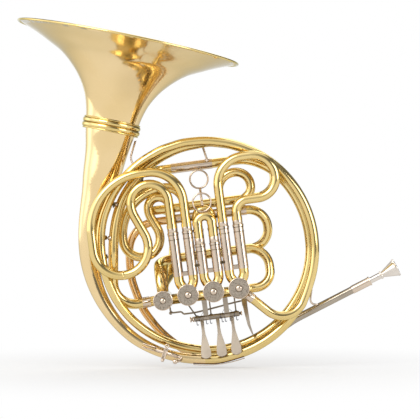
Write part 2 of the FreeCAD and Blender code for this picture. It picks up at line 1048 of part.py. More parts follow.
def leg_set(valve, tops):
    shapes = []
    for level, top in zip(levels, tops):
        u, v = valve_places[valve]
        for side in (-1, 1):
            shapes.append(leg_knuckle(valve, side, level))
            foot = row_point(u + half_gap * side, level, size.sleeve_start)
            head = row_point(u + half_gap * side, level, top)
            shapes.append(sleeve(foot, head))
            band = row_point(u + half_gap * side, level, top - size.ferrule_length * band_share)
            shapes.append(
                ferrule(band, row_direction(0, 0, 1), size.ferrule_length * band_share, sleeve_radius)
            )
        shapes.append(cross_bar(valve, level, size.sleeve_start))
    return shapes


band_share = 0.35
sleeve_tops = {
    "valve1": (size.sleeve_top, size.sleeve_top),
    "valve2": (size.short_sleeve_top, size.sleeve_top),
    "valve3": (size.sleeve_top, size.sleeve_top),
}
for valve, tops in sleeve_tops.items():
    shaped(valve + "_sleeves", group(leg_set(valve, tops)))

# Valve slides: each loop as corners from its valve, with the arc at each corner,
# all as shares of the ring's radius; "left" and "right" are the legs themselves

leg_share = float(half_gap / size.ring_radius)
loop_shares = {
    "f1_slide": (
        "valve1",
        0,
        [(-leg_share, 1.18, 0.247), (0.461, 1.18, 0.213), (0.461, 0.787, 0.18), (leg_share, 0.787, 0.107)],
    ),
    "f2_slide": ("valve2", 0, [(-leg_share, 0.689, 0.0655), (leg_share, 0.689, 0.0655)]),
    "f3_slide": (
        "valve3",
        0,
        [
            (leg_share, 1.147, 0.293),
            (-0.798, 1.147, 0.507),
            (-0.798, 0.25, 0.249),
            (-0.301, 0.25, 0.249),
            (-0.301, 0.553, 0.26),
            (-0.411, 0.813, 0.26),
            (-0.411, 1.04, 0.172),
            (-leg_share, 1.04, 0.170),
        ],
    ),
    "b1_slide": (
        "valve1",
        1,
        [(-leg_share, 1.05, 0.16), (0.231, 1.05, 0.133), (0.231, 0.853, 0.107), (leg_share, 0.733, 0.107)],
    ),
    "b2_slide": ("valve2", 1, [(-leg_share, 0.747, 0.0655), (leg_share, 0.747, 0.0655)]),
    "b3_slide": (
        "valve3",
        1,
        [
            (leg_share, 0.993, 0.16),
            (-0.531, 0.993, 0.427),
            (-0.531, 0.387, 0.169),
            (-0.191, 0.387, 0.169),
            (-0.191, 0.6, 0.2),
            (-0.265, 0.767, 0.2),
            (-0.265, 0.913, 0.098),
            (-leg_share, 0.913, 0.098),
        ],
    ),
}
pull_ring_height = {"f2_slide": none, "b2_slide": size.ring_pull_radius * 1.9}


def pull_ring(name, level, top):
    # A wire ring on the bow, on a short stem
    height = pull_ring_height[name]
    center = row_point(none, level, top + size.tube_radius + height + size.ring_pull_radius)
    circle = Part.makeTorus(
        float(size.ring_pull_radius), float(size.pull_wire), center, Vector(0, 1, 0)
    )
    stem_foot = row_point(none, level, top + size.tube_radius * 0.9)
    stem_head = row_point(none, level, top + size.tube_radius + height + size.pull_wire * 0.5)
    stem = Part.makeCylinder(
        float(size.pull_wire * 1.3), (stem_head - stem_foot).Length, stem_foot, row_direction(0, 0, 1)
    )
    return circle.fuse(stem)


def loop_slide(name):
    valve, level_index, corners = loop_shares[name]
    level = levels[level_index]
    u, v = valve_places[valve]
    side = 1 if corners[0][0] > 0 else -1
    foot = size.leg_top - size.slide_overlap
    if name == "f2_slide":
        foot = size.sleeve_start + size.seat_gap
    points = [row_point(u + half_gap * side, level, foot)]
    radii = {}
    for index, (across, up, bend) in enumerate(corners, start=1):
        points.append(row_point(u + size.ring_radius * across, level, size.ring_radius * up))
        radii[index] = size.ring_radius * bend
    points.append(row_point(u - half_gap * side, level, foot))
    bore = size.tube_radius - size.sleeve_wall
    if name in pull_ring_height:
        top = size.ring_radius * corners[0][1]
        shapes = [pipe(points, size.tube_radius, bore, radii).fuse(pull_ring(name, level, top))]
    else:
        shapes = soldered(points, size.tube_radius, bore, radii)
    for side in (-1, 1):
        start = row_point(u + half_gap * side, level, size.leg_top)
        shapes.append(
            ferrule(start, row_direction(0, 0, 1), size.ferrule_length * 0.7, size.tube_radius)
        )
    return shapes


for name in loop_shares:
    shaped(name, group(loop_slide(name)))

# The main tuning slide, its sleeves and the elbows into the change valve

main_sleeve_left = size.main_end - size.main_overlap
elbow_share = 0.43
upper_sleeve = [
    row_point(main_sleeve_left, size.first_depth, size.main_upper),
    row_point(size.main_end, size.first_depth, size.main_upper),
]
lower_sleeve = [
    row_point(main_sleeve_left, size.second_depth, size.main_lower),
    row_point(size.main_end, size.second_depth, size.main_lower),
]
main_join = row_point(main_left, size.first_depth, size.main_upper)
shaped(
    "main_sleeves",
    group(
        [
            sleeve(*upper_sleeve),
            sleeve(*lower_sleeve),
            tube([main_join, upper_sleeve[0]], size.tube_radius),
        ]
    ),
)

bow_drop = size.main_upper - size.main_lower
main_bow_right = size.main_end + size.ferrule_length + bow_drop / 2
main_slide_points = [
    row_point(main_sleeve_left + size.seat_gap, size.first_depth, size.main_upper),
    row_point(main_bow_right, size.first_depth, size.main_upper),
    row_point(main_bow_right, size.second_depth, size.main_lower),
    row_point(main_sleeve_left + size.seat_gap, size.second_depth, size.main_lower),
]
row_way = row_direction(1, 0, 0)
shaped(
    "main_slide",
    group(
        [pipe(main_slide_points, size.tube_radius, size.tube_radius - size.sleeve_wall)]
        + [
            ferrule(
                row_point(size.main_end + size.seat_gap, depth, height),
                row_way,
                size.ferrule_length,
                size.tube_radius,
            )
            for depth, height in (
                (size.first_depth, size.main_upper),
                (size.second_depth, size.main_lower),
            )
        ]
    ),
)

elbow_left = -size.ring_radius * elbow_share
front_elbow_left = elbow_left - size.tube_radius
elbow_mid = (size.main_lower + change_v) / 2
back_elbow = [
    lower_sleeve[0],
    row_point(elbow_left, size.second_depth, size.main_lower),
    row_point(change_u + size.tube_radius / 2, size.back_level, elbow_mid),
    row_point(change_u + size.tube_radius / 4, size.back_level, change_v + size.casing_radius / 2),
]
lower_bow_right = size.ring_radius * 0.54
bow_bottom = -size.port_drop
front_elbow = [
    row_point(change_u, size.front_level, change_v + size.casing_radius / 2),
    row_point(front_elbow_left, between(size.front_level, size.first_depth, 0.18), size.main_lower * 0.72),
    row_point(front_elbow_left, size.first_depth, size.main_lower),
    row_point(main_sleeve_left, size.first_depth, size.main_lower),
]
lower_bow = [
    row_point(main_sleeve_left, size.first_depth, size.main_lower),
    row_point(lower_bow_right, size.first_depth, size.main_lower),
    row_point(lower_bow_right, size.back_level, bow_bottom),
    row_point(size.valve_pitch, size.back_level, bow_bottom),
]
shaped(
    "elbow_tubes",
    group(
        [
            let_in(tube(back_elbow, size.tube_radius), "change"),
            let_in(tube(front_elbow, size.tube_radius), "change"),
        ]
    ),
)
shaped("lower_bow", let_in(tube(lower_bow, size.tube_radius), "valve1"))

# The F side: from the change valve to its tuning slide behind the top of the ring

feed_rise_u = -size.valve_pitch - half_gap
feed_turn_u = -size.ring_radius * 0.5
feed_right = size.ring_radius * 0.693
feed_points = [
    row_point(change_u, feed_port_level, change_v + size.casing_radius / 2),
    row_point(change_u + size.tube_radius / 2, feed_port_level, change_v + size.casing_radius * 1.6),
    row_point(feed_rise_u - size.tube_radius * 1.6, size.third_depth, size.main_lower * 0.6),
    row_point(feed_rise_u, size.third_depth, size.main_lower * 1.5),
    row_point(feed_rise_u, size.third_depth, size.feed_level),
    row_point(feed_turn_u, size.third_depth, size.feed_level),
    row_point(feed_turn_u, size.feed_depth, size.feed_level),
    row_point(feed_right, size.feed_depth, size.feed_level),
    row_point(feed_right, size.top_back_depth, size.top_level),
    row_point(top_leg_end, size.top_back_depth, size.top_level),
]
feed_bends = {4: size.ring_radius * 0.09}
feed_lengths = soldered(feed_points, size.tube_radius, size.tube_radius - size.tube_wall, feed_bends)
shaped("f_feed_tube", let_in(group(feed_lengths), "change"))

top_sleeve_left = -size.ring_radius * 0.192
top_bow_left = -size.ring_radius * 0.378
top_depths = (size.top_front_depth, size.top_back_depth)
shaped(
    "f_slide_sleeves",
    group(
        sleeve(
            row_point(top_sleeve_left, depth, size.top_level), row_point(top_leg_end, depth, size.top_level)
        )
        for depth in top_depths
    ),
)
top_slide_points = [
    row_point(top_leg_end - size.seat_gap, size.top_front_depth, size.top_level),
    row_point(top_bow_left, size.top_front_depth, size.top_level),
    row_point(top_bow_left, size.top_back_depth, size.top_level),
    row_point(top_leg_end - size.seat_gap, size.top_back_depth, size.top_level),
]
top_bow = pipe(top_slide_points, size.tube_radius, size.tube_radius - size.sleeve_wall)
shaped(
    "f_tuning_slide",
    group(
        [top_bow.cut(nodes["f_ring_tube"].Shape)]
        + [
            ferrule(
                row_point(top_sleeve_left - size.seat_gap, depth, size.top_level),
                row_way * -1,
                size.ferrule_length,
                size.tube_radius,
            )
            for depth in top_depths
        ]
    ),
)

# Keywork: posts and hinge rod under the casings

tube_bottom = -size.port_drop - size.tube_radius
hinge_v = -size.hinge_drop
post_places = (-size.valve_pitch * 0.417, size.valve_pitch * 0.408)
rod_left = -size.valve_pitch * 1.06
rod_right = size.valve_pitch * 0.95
along_row = Rotation(Vector(0, 0, 1), Vector(1, 0, 0))


def row_box(u, y, v, across, deep, high):
    # A block given by its middle in the row's frame
    box = Part.makeBox(float(across), float(deep), float(high))
    box.Placement = in_row(u - across / 2, y - deep / 2, v - high / 2)
    return box


def row_rod(u, y, v, length, radius):
    # A rod that lies along the row
    rod = Part.makeCylinder(float(radius), float(length))
    rod.Placement = in_row(u, y, v, along_row)
    return rod


def hinge_post(u):
    base_depth = size.back_level - size.front_level
    base_middle = (size.back_level + size.front_level) / 2
    base_height = tube_bottom - size.post_thickness / 4
    base = row_box(u, base_middle, base_height, size.post_width, base_depth, size.post_thickness)
    stem_high = -hinge_v + tube_bottom
    stem = row_box(
        u, size.hinge_depth, hinge_v + stem_high / 2, size.post_width, size.post_thickness, stem_high
    )
    hub = row_rod(u - size.post_width / 2, size.hinge_depth, hinge_v, size.post_width, size.hub_radius)
    bore = row_rod(u - size.post_width, size.hinge_depth, hinge_v, size.post_width * 2, size.hinge_radius)
    return let_tubes(base.fuse([stem, hub]).cut(bore))


def let_tubes(shape):
    # A saddle fits round the knuckles that it is soldered to
    for level in levels:
        line = [row_point(-size.valve_pitch, level, -size.port_drop)]
        line.append(row_point(size.valve_pitch, level, -size.port_drop))
        shape = shape.cut(pipe(line, size.tube_radius))
    return shape


thumb_level = size.change_back + size.plate_height + size.seat_gap + size.arm_height + size.pin_length / 2
travel = size.arm_reach * math.sqrt(2)
thumb_swing = math.degrees(2 * math.asin(float(travel / size.thumb_arm) / 2))
lever_swing = math.degrees(math.asin(float(travel / size.lever_arm)))
thumb_half = math.radians(thumb_swing / 2)
thumb_y = thumb_level - size.thumb_arm * math.cos(thumb_half)
thumb_v = -size.thumb_drop
thumb_hub_length = size.hub_length * 0.8


def thumb_bracket():
    lug = row_box(
        size.thumb_u,
        thumb_y,
        thumb_v + thumb_hub_length,
        size.hub_radius * 2,
        size.hub_radius * 2,
        thumb_hub_length - size.seat_gap * 2,
    )
    pin = Part.makeCylinder(float(size.hinge_radius), float(thumb_hub_length * 2))
    pin.Placement = in_row(size.thumb_u, thumb_y, thumb_v - thumb_hub_length * 0.7)
    head = Part.makeCylinder(float(size.hub_radius), float(size.seat_gap * 4))
    head.Placement = in_row(
        size.thumb_u, thumb_y, thumb_v - thumb_hub_length * 0.5 - size.seat_gap - size.seat_gap * 4
    )
    return lug.fuse([pin, head]).cut(casing_core("valve1", size.casing_radius))


shaped("hinge_posts", group([hinge_post(u) for u in post_places] + [thumb_bracket()]))

knob_length = size.foot_radius * 0.45
rod = row_rod(rod_left, size.hinge_depth, hinge_v, rod_right - rod_left, size.hinge_radius)
knobs = [
    row_rod(rod_left, size.hinge_depth, hinge_v, knob_length, size.knob_radius),
    row_rod(rod_left + knob_length * 2, size.hinge_depth, hinge_v, knob_length, size.knob_radius),
    row_rod(rod_right, size.hinge_depth, hinge_v, size.foot_radius * 0.4, size.knob_radius * 0.8),
]
shaped("hinge_rod", rod.fuse(knobs))

# Finger levers: hub, paddle and rear arm with its ball

link_offset = size.arm_reach * (1 + math.sqrt(0.5)) / 2
lever_data = {
    "lever1": ("valve1", 20.5 / 34.8, (17.6 / 34.8, 31 / 34.8), none),
    "lever2": ("valve2", 0.5 / 34.8, (-11.0 / 34.8, 10.7 / 34.8), none),
    "lever3": ("valve3", -20.9 / 34.8, (-31 / 34.8, -18.0 / 34.8), size.leg_gap * 0.76),
}
paddle_outline_shares = [(0.38, 0.0), (0.29, 0.28), (0.36, 0.42), (0.86, 0.72), (1.0, 0.84), (0.97, 0.95)]


def paddle(u):
    # A flat blade that hangs from the hub and leans to the front
    half = size.paddle_width / 2
    right = [
        Vector(half * across, 0, -size.paddle_length * down) for across, down in paddle_outline_shares
    ]
    left = [Vector(-point.x, 0, point.z) for point in reversed(right)]
    tip = Vector(0, 0, -size.paddle_length)
    edges = [
        Part.LineSegment(start, end).toShape()
        for start, end in list(zip(right, right[1:])) + list(zip(left, left[1:]))
    ]
    edges.append(Part.Arc(right[-1], tip, left[0]).toShape())
    edges.append(Part.LineSegment(left[-1], right[0]).toShape())
    face = Part.Face(Part.Wire(Part.__sortEdges__(edges)))
    blade = face.extrude(Vector(0, size.lever_thickness, 0))
    blade.translate(Vector(0, -size.lever_thickness / 2, 0))
    lean = Rotation(Vector(1, 0, 0), -float(size.lever_lean))
    blade.Placement = in_row(u, size.hinge_depth, hinge_v, lean).multiply(blade.Placement)
    return blade


def lever(name):
    valve, paddle_share, hub_shares, shift = lever_data[name]
    left, right = (size.valve_pitch * share for share in hub_shares)
    u = size.valve_pitch * paddle_share
    arm_u = valve_places[valve][0] - link_offset + shift
    hub = row_rod(left, size.hinge_depth, hinge_v, right - left, size.hub_radius)
    arm = row_box(
        arm_u,
        size.hinge_depth + size.lever_arm / 2,
        hinge_v,
        size.stem_width * 0.6,
        size.lever_arm,
        size.lever_thickness,
    )
    end = Part.makeSphere(float(size.ball_radius))
    end.Placement = in_row(arm_u, size.hinge_depth + size.lever_arm, hinge_v)
    bore = row_rod(
        left - size.post_width,
        size.hinge_depth,
        hinge_v,
        right - left + size.post_width * 2,
        size.hinge_radius + size.hinge_gap,
    )
    return hub.fuse([arm, end, paddle(u)]).cut(bore)


for name in lever_data:
    shaped(name, lever(name))


def socket(place):
    # Half a hollow ball that snaps over a lever's ball end
    outer = Part.makeSphere(float(size.ball_radius + size.hinge_gap + size.ferrule_wall))
    inner = Part.makeSphere(float(size.ball_radius + size.hinge_gap))
    reach = size.ball_radius * 4
    front = Part.makeBox(float(reach), float(reach), float(reach))
    front.translate(Vector(-reach / 2, -reach, -reach / 2))
    shell = outer.cut([inner, front])
    shell.Placement = place
    return shell


def eye(u, y, v):
    ring = Part.makeCylinder(float(size.eye_outer), float(size.eye_height))
    ring = ring.cut(Part.makeCylinder(float(size.eye_inner), float(size.eye_height)))
    ring.Placement = in_row(u, y - size.eye_height / 2, v, along_y)
    return ring


def link(name):
    # A rod from the lever's ball up to the eye round the rotor's pin
    valve, paddle_share, hub_shares, shift = lever_data[name]
    u = valve_places[valve][0] - link_offset
    y = size.hinge_depth + size.lever_arm
    pin_v = -size.arm_reach * math.sqrt(0.5)
    foot = Vector(u + shift, y, hinge_v)
    head = Vector(u, y, pin_v)
    way = unit(head - foot)
    start = foot + way * float(size.ball_radius + size.hinge_gap + size.ferrule_wall / 2)
    end = head - way * float(size.eye_outer - size.ferrule_wall / 2)
    rod = Part.makeCylinder(float(size.link_radius), (end - start).Length, start, way)
    rod.Placement = row_place.multiply(rod.Placement)
    return rod.fuse([socket(in_row(u + shift, y, hinge_v)), eye(u, y, pin_v)])


for name in lever_data:
    shaped(name.replace("lever", "link"), link(name))

# The thumb lever and its long link to the change valve

thumb_end_u = size.thumb_u + travel / 2


def thumb_lever():
    hub = Part.makeCylinder(float(size.hub_radius), float(thumb_hub_length))
    hub.Placement = in_row(size.thumb_u, thumb_y, thumb_v - thumb_hub_length / 2)
    crank = Part.makeBox(float(size.stem_width * 0.7), float(size.thumb_arm), float(size.lever_thickness))
    crank.translate(Vector(-size.stem_width * 0.35, 0, -size.lever_thickness / 2))
    turn = Rotation(Vector(0, 0, 1), -thumb_swing / 2)
    crank.Placement = in_row(size.thumb_u, thumb_y, thumb_v, turn).multiply(crank.Placement)
    end = Part.makeSphere(float(size.ball_radius))
    end.Placement = in_row(thumb_end_u, thumb_level, thumb_v)
    sections = []
    for down, across, deep, aside, forward in thumb_sections:
        middle = Vector(
            size.thumb_u + size.thumb_width * aside,
            thumb_y - size.hub_radius * forward,
            thumb_v - size.thumb_length * down,
        )
        half_u = float(size.thumb_width * across) / 2
        half_y = float(size.thumb_width * deep) / 2
        corners = [(-half_u, -half_y), (half_u, -half_y), (half_u, half_y), (-half_u, half_y)]
        ring = [middle + Vector(a, b, 0) for a, b in corners]
        sections.append(Part.makePolygon(ring + ring[:1]))
    blade = Part.makeLoft(sections, True, True)
    blade.Placement = row_place.multiply(blade.Placement)
    bore = Part.makeCylinder(float(size.hinge_radius + size.hinge_gap), float(thumb_hub_length * 3))
    bore.Placement = in_row(size.thumb_u, thumb_y, thumb_v - thumb_hub_length * 1.5)
    return hub.fuse([crank, end, blade]).cut(bore)


# How far down, how wide, how deep, how far aside and how far forward the blade is, as shares
thumb_sections = [
    (-0.08, 1.0, 0.5, 0.0, 1.0),
    (0.05, 1.0, 0.5, 0.0, 1.6),
    (0.35, 0.85, 1.2, 0.12, 2.4),
    (0.7, 0.6, 2.0, 0.32, 3.2),
    (1.0, 0.3, 1.6, 0.85, 3.6),
]
shaped("thumb_lever", thumb_lever())

thumb_link_shares = [
    (26.8 / 34.8, -21.4 / 34.8),
    (-1.3 / 34.8, -25.3 / 34.8),
    (-29 / 34.8, -28.5 / 34.8),
    (-45.7 / 34.8, -28.4 / 34.8),
    (-48 / 34.8, -24.7 / 34.8),
]


def thumb_link():
    eye_u = change_u + size.arm_reach * math.sqrt(0.5)
    eye_v = change_v - link_offset
    points = [Vector(thumb_end_u - size.ball_radius - size.hinge_gap, thumb_level, thumb_v)]
    points += [
        Vector(size.valve_pitch * u, thumb_level, size.valve_pitch * v) for u, v in thumb_link_shares
    ]
    corner_v = size.valve_pitch * thumb_link_shares[-1][1]
    points += [
        Vector(eye_u, thumb_level, corner_v),
        Vector(eye_u, thumb_level, eye_v - size.eye_outer + size.ferrule_wall / 2),
    ]
    wire = [row_place.multVec(point) for point in points]
    parts = [socket(in_row(thumb_end_u, thumb_level, thumb_v)), eye(eye_u, thumb_level, eye_v)]
    knob = Part.makeSphere(float(size.ball_radius))
    knob.Placement = in_row(eye_u, thumb_level, corner_v)
    return pipe(wire, size.link_radius * 1.2).fuse(parts + [knob])


shaped("thumb_link", thumb_link())

# Corks that the stop arms rest against

cork_turn = 30.5
corks = []
for valve, (u, v) in valve_places.items():
    front, back = casing_ends[valve]
    for angle in (rest_angles[valve] + cork_turn, rest_angles[valve] - 90 - cork_turn):
        turn = math.radians(angle)
        reach = size.arm_reach + size.pin_radius / 2
        cork = Part.makeCylinder(float(size.cork_radius), float(size.cork_length))
        cork.Placement = in_row(
            u + reach * math.cos(turn), back + size.plate_height, v + reach * math.sin(turn), along_y
        )
        corks.append(cork)
shaped("stop_corks", group(corks))

# Receiver and mouthpiece, on the lead pipe's line

receiver_point = lead_points[-1]
lead_way = unit(receiver_point - lead_points[-2])
receiver_place = Placement(receiver_point, turn_to(lead_way))
receiver_lap = size.receiver_length - size.shank_reach
keep(
    "receiver",
    turned(
        "receiver",
        [
            (size.lead_radius, -receiver_lap),
            (size.lead_radius + size.ferrule_wall, -receiver_lap),
            (size.receiver_radius, none),
            (size.receiver_radius, size.shank_reach - size.ferrule_wall * 4),
            (size.receiver_radius + size.ferrule_wall, size.shank_reach - size.ferrule_wall * 3),
            (size.receiver_radius + size.ferrule_wall, size.shank_reach),
            (size.shank_radius + size.slide_gap, size.shank_reach),
            (size.shank_end_radius + size.slide_gap, none),
            (size.lead_radius, none),
        ],
        receiver_place,
    ),
)
bowl_height = size.mouthpiece_length - size.cup_length
mouthpiece_place = receiver_place.multiply(Placement(Vector(0, 0, size.seat_gap), Rotation()))
keep(
    "mouthpiece",
    turned(
        "mouthpiece",
        [
            (size.throat_radius * 1.3, none),
            (size.shank_end_radius, none),
            (size.shank_radius, size.shank_reach - size.seat_gap),
            (size.shank_radius * 1.06, bowl_height),
            (size.shank_radius * 1.3, bowl_height + size.cup_length * 0.04),
            (size.shank_radius * 1.3, bowl_height + size.cup_length * 0.1),
            (size.shank_radius, bowl_height + size.cup_length * 0.14),
            (size.cup_radius * 0.9, size.mouthpiece_length - size.cup_length * 0.12),
            (size.cup_radius, size.mouthpiece_length - size.cup_length * 0.06),
            (size.cup_radius * 0.94, size.mouthpiece_length),
            (size.cup_radius * 0.76, size.mouthpiece_length),
            (size.cup_radius * 0.69, size.mouthpiece_length - size.cup_length * 0.06),
            (size.throat_radius, bowl_height + size.cup_length * 0.16),
        ],
        mouthpiece_place,
    ),
)

# Hook for the little finger, its clamp and screw

hook_shares = (-0.367, -0.9335)
hook_turn = 18
hook_clear = size.branch_radius + size.clamp_height / 2
hook_place = Placement(
    plane_point(hook_shares[0], hook_shares[1], size.ring_depth - hook_clear),
    Rotation(Vector(0, 1, 0), hook_turn),
)


def hook_rod_line(start, end, radius):
    return Part.makeCylinder(float(radius), float(end - start), Vector(start, 0, 0), Vector(1, 0, 0))


def hook_clamp():
    block_shape = Part.makeBox(float(size.clamp_length), float(size.clamp_height), float(size.clamp_width))
    block_shape.translate(Vector(-size.clamp_length / 2, -size.clamp_height / 2, -size.clamp_width / 2))
    edges = [edge for edge in block_shape.Edges]
    block_shape = block_shape.makeFillet(float(size.ferrule_wall), edges)
    bore = hook_rod_line(-size.hook_length, size.hook_length, size.hook_rod_radius + size.hinge_gap)
    screw_hole = Part.makeCylinder(
        float(size.clamp_screw_radius + size.hinge_gap), float(size.clamp_width), Vector(0, 0, 0)
    )
    rails = []
    for side in (-1, 1):
        rail = Part.makeCylinder(
            float(size.brace_radius * 0.7),
            float(size.hook_length),
            Vector(
                -size.hook_length - size.clamp_length / 2,
                size.clamp_height * 0.46,
                size.clamp_width * 0.27 * side,
            ),
            Vector(1, 0, 0),
        )
        rails.append(rail)
    clamp = block_shape.cut([bore, screw_hole])
    clamp = Part.makeCompound([clamp] + rails)
    clamp.Placement = hook_place
    return clamp


def finger_hook():
    reach = size.hook_length * 0.72
    line = hook_rod_line(-size.clamp_length, reach, size.hook_rod_radius)
    curve = [
        Vector(reach - size.hook_rod_radius, 0, 0),
        Vector(reach + size.hook_ball, 0, 0),
        Vector(reach + size.hook_ball, -size.hook_ball * 2, -size.hook_ball * 0.8),
        Vector(reach - size.hook_ball * 0.4, -size.hook_ball * 3.4, -size.hook_ball * 1.4),
    ]
    hooked = pipe(curve, size.hook_wire)
    tip = Part.makeSphere(float(size.hook_ball * 0.75), curve[-1])
    hook = line.fuse([hooked, tip])
    hook.Placement = hook_place
    return hook


def clamp_screw():
    # The screw comes in from above and ends just short of the rod
    foot = size.hook_rod_radius + size.seat_gap
    shank = Part.makeCylinder(
        float(size.clamp_screw_radius), float(size.clamp_width * 0.9), Vector(0, 0, foot)
    )
    loop_height = foot + size.clamp_width * 0.9 + size.ball_radius
    loop = Part.makeTorus(
        float(size.ball_radius), float(size.pull_wire * 0.8), Vector(0, 0, loop_height), Vector(0, 1, 0)
    )
    screw = shank.fuse(loop)
    screw.Placement = hook_place
    return screw


shaped("hook_clamp", hook_clamp())
shaped("finger_hook", finger_hook())
shaped("clamp_screw", clamp_screw())

# Stays between the tubes

lower_wire_shares = [(0.972, -0.36, 0.0), (0.958, -0.50, 0.45), (1.06, -0.508, 0.95)]
upper_wire_shares = [(-0.634, 1.02, 0.0), (-0.69, 0.83, 0.25), (-0.64, 0.755, 0.6), (-0.545, 0.806, 1.0)]


def wire_stay(table, start_depth, end_depth):
    points = [plane_point(x, z, between(start_depth, end_depth, share)) for x, z, share in table]
    return pipe(points, size.wire_radius)


def footed(start, end):
    # A straight brace with a round foot at each end
    way = unit(end - start)
    length = (end - start).Length
    rod_shape = Part.makeCylinder(float(size.brace_radius), length, start, way)
    feet = [
        Part.makeCylinder(float(size.foot_radius * 0.8), float(size.foot_height), start, way),
        Part.makeCylinder(float(size.foot_radius * 0.8), float(size.foot_height), end, way * -1),
    ]
    return rod_shape.fuse(feet)


def touching(first, first_radius, second, second_radius):
    # A brace between the surfaces of two tubes whose middles are given
    way = unit(second - first)
    return footed(first + way * float(first_radius), second - way * float(second_radius))


top_brace_angle = 92.2
ring_braces = [
    touching(
        ring_point(top_brace_angle, 0.986, size.ring_depth),
        size.branch_radius,
        row_point(size.ring_radius * 0.105, size.top_front_depth, size.top_level),
        sleeve_radius,
    ),
    touching(
        row_point(size.ring_radius * 0.09, size.first_depth, size.main_upper),
        sleeve_radius,
        row_point(size.ring_radius * 0.09, size.second_depth, size.main_lower),
        sleeve_radius,
    ),
    touching(
        ring_point(173, 0.949, size.front_ring_depth),
        size.ring_tube_radius,
        ring_point(173, 0.845, size.ring_depth),
        size.branch_radius,
    ),
    touching(
        ring_point(153, 0.987, size.front_ring_depth),
        size.ring_tube_radius,
        ring_point(153, 0.879, size.ring_depth),
        size.branch_radius,
    ),
]
for angle in (-62, -75):
    ring_braces.append(
        touching(
            ring_point(angle, 1.0, size.ring_depth),
            size.branch_radius,
            ring_point(angle, 1.016, size.lead_depth),
            size.lead_radius,
        )
    )
for angle, share in ((18, 0.9632), (-40, 0.947)):
    ring_braces.append(
        touching(
            ring_point(angle, 1.0, size.ring_depth),
            size.branch_radius,
            ring_point(angle, share, size.inner_ring_depth),
            size.ring_tube_radius,
        )
    )
stays = ring_braces + [
    wire_stay(lower_wire_shares, size.ring_depth, size.lead_depth),
    wire_stay(upper_wire_shares, size.bell_depth, size.ring_depth),
]
doc.recompute()
neighbours = "tail_collar bell_tail change_branch bell_branch f_ring_tube lead_pipe f_slide_sleeves"
stay_shape = group(stays).cut([nodes[name].Shape for name in neighbours.split()])
crumb_volume = float(size.wire_radius) ** 3
shaped("stays", group([solid for solid in stay_shape.Solids if solid.Volume > crumb_volume]))

# Springs wound on the levers' hubs, each with a tail against a post

spring_turns = 1.5
turn_steps = 12
coil_radius = size.hub_radius + size.spring_wire + size.spring_gap / 2
spring_pitch = size.spring_wire * 2 + size.spring_gap
spring_start_shares = (0.675, 0.121, -0.724)
spring_sides = (
    post_places[1] + size.post_width / 2,
    post_places[1] - size.post_width / 2,
    post_places[0] - size.post_width / 2,
)


def spring(start_share, post_side):
    # A coil round the hub, whose end leans on the post
    start = size.valve_pitch * start_share
    points = []
    for step in range(round(spring_turns * turn_steps) + 1):
        turn = step / turn_steps
        angle = 2 * math.pi * turn
        points.append(
            row_point(
                start + spring_pitch * turn,
                size.hinge_depth - coil_radius * math.cos(angle),
                hinge_v - coil_radius * math.sin(angle),
            )
        )
    points.append(
        row_point(
            post_side,
            size.hinge_depth + size.post_thickness / 2 + size.spring_wire,
            hinge_v + coil_radius * 2,
        )
    )
    return pipe(points, size.spring_wire)


springs = [spring(share, side) for share, side in zip(spring_start_shares, spring_sides)]
shaped("lever_springs", group(springs))

# Strip that guards the ring's bottom, and the short nickel bands

guard_start = -96
guard_sweep = 26


def hand_guard():
    inner = size.ring_radius + size.branch_radius + size.seat_gap * 2
    face = Part.Face(
        Part.makePolygon(
            [
                Vector(inner, -size.guard_width / 2, 0),
                Vector(inner + size.guard_thickness, -size.guard_width / 2, 0),
                Vector(inner + size.guard_thickness, size.guard_width / 2, 0),
                Vector(inner, size.guard_width / 2, 0),
                Vector(inner, -size.guard_width / 2, 0),
            ]
        )
    )
    strip = face.revolve(Vector(0, 0, 0), Vector(0, 1, 0), guard_sweep)
    turn = Rotation(Vector(0, 1, 0), -guard_start - guard_sweep)
    strip.Placement = Placement(Vector(0, size.ring_depth, size.ring_radius), turn)
    return strip


shaped("hand_guard", hand_guard())
inlet_way = unit(inlet_points[-2] - inlet_points[-1])
branch_way = unit(change_branch_points[1] - change_branch_points[0])
bands = [
    ferrule(
        inlet_points[-1] + inlet_way * float(size.casing_radius * 0.85),
        inlet_way,
        size.ferrule_length * 1.4,
        size.ring_tube_radius,
    ),
    ferrule(
        change_branch_points[0] + branch_way * float(size.casing_radius * 1.15),
        branch_way,
        size.ferrule_length * 1.6,
        size.branch_radius,
    ),
]
shaped("ferrules", group(bands))


# Checks and files

doc.recompute()
for item in doc.Objects:
    if "Invalid" in item.State or "Error" in item.State:
        raise RuntimeError("%s failed: %s" % (item.Label, item.State))
for label, item in nodes.items():
    if item.Shape.isNull() or not item.Shape.isValid():
        raise RuntimeError("%s has no valid shape" % label)
    if not item.Shape.Solids:
        raise RuntimeError("%s has no solid" % label)

os.makedirs("parts", exist_ok=True)
for label, item in nodes.items():
    item.Shape.exportStep("parts/%s.step" % label)
volume = sum(item.Shape.Volume for item in nodes.values())
print(len(nodes), "nodes, volume", round(volume), "cubic millimetres")
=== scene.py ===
import json
import math

import bmesh
import bpy
from mathutils import Matrix, Vector

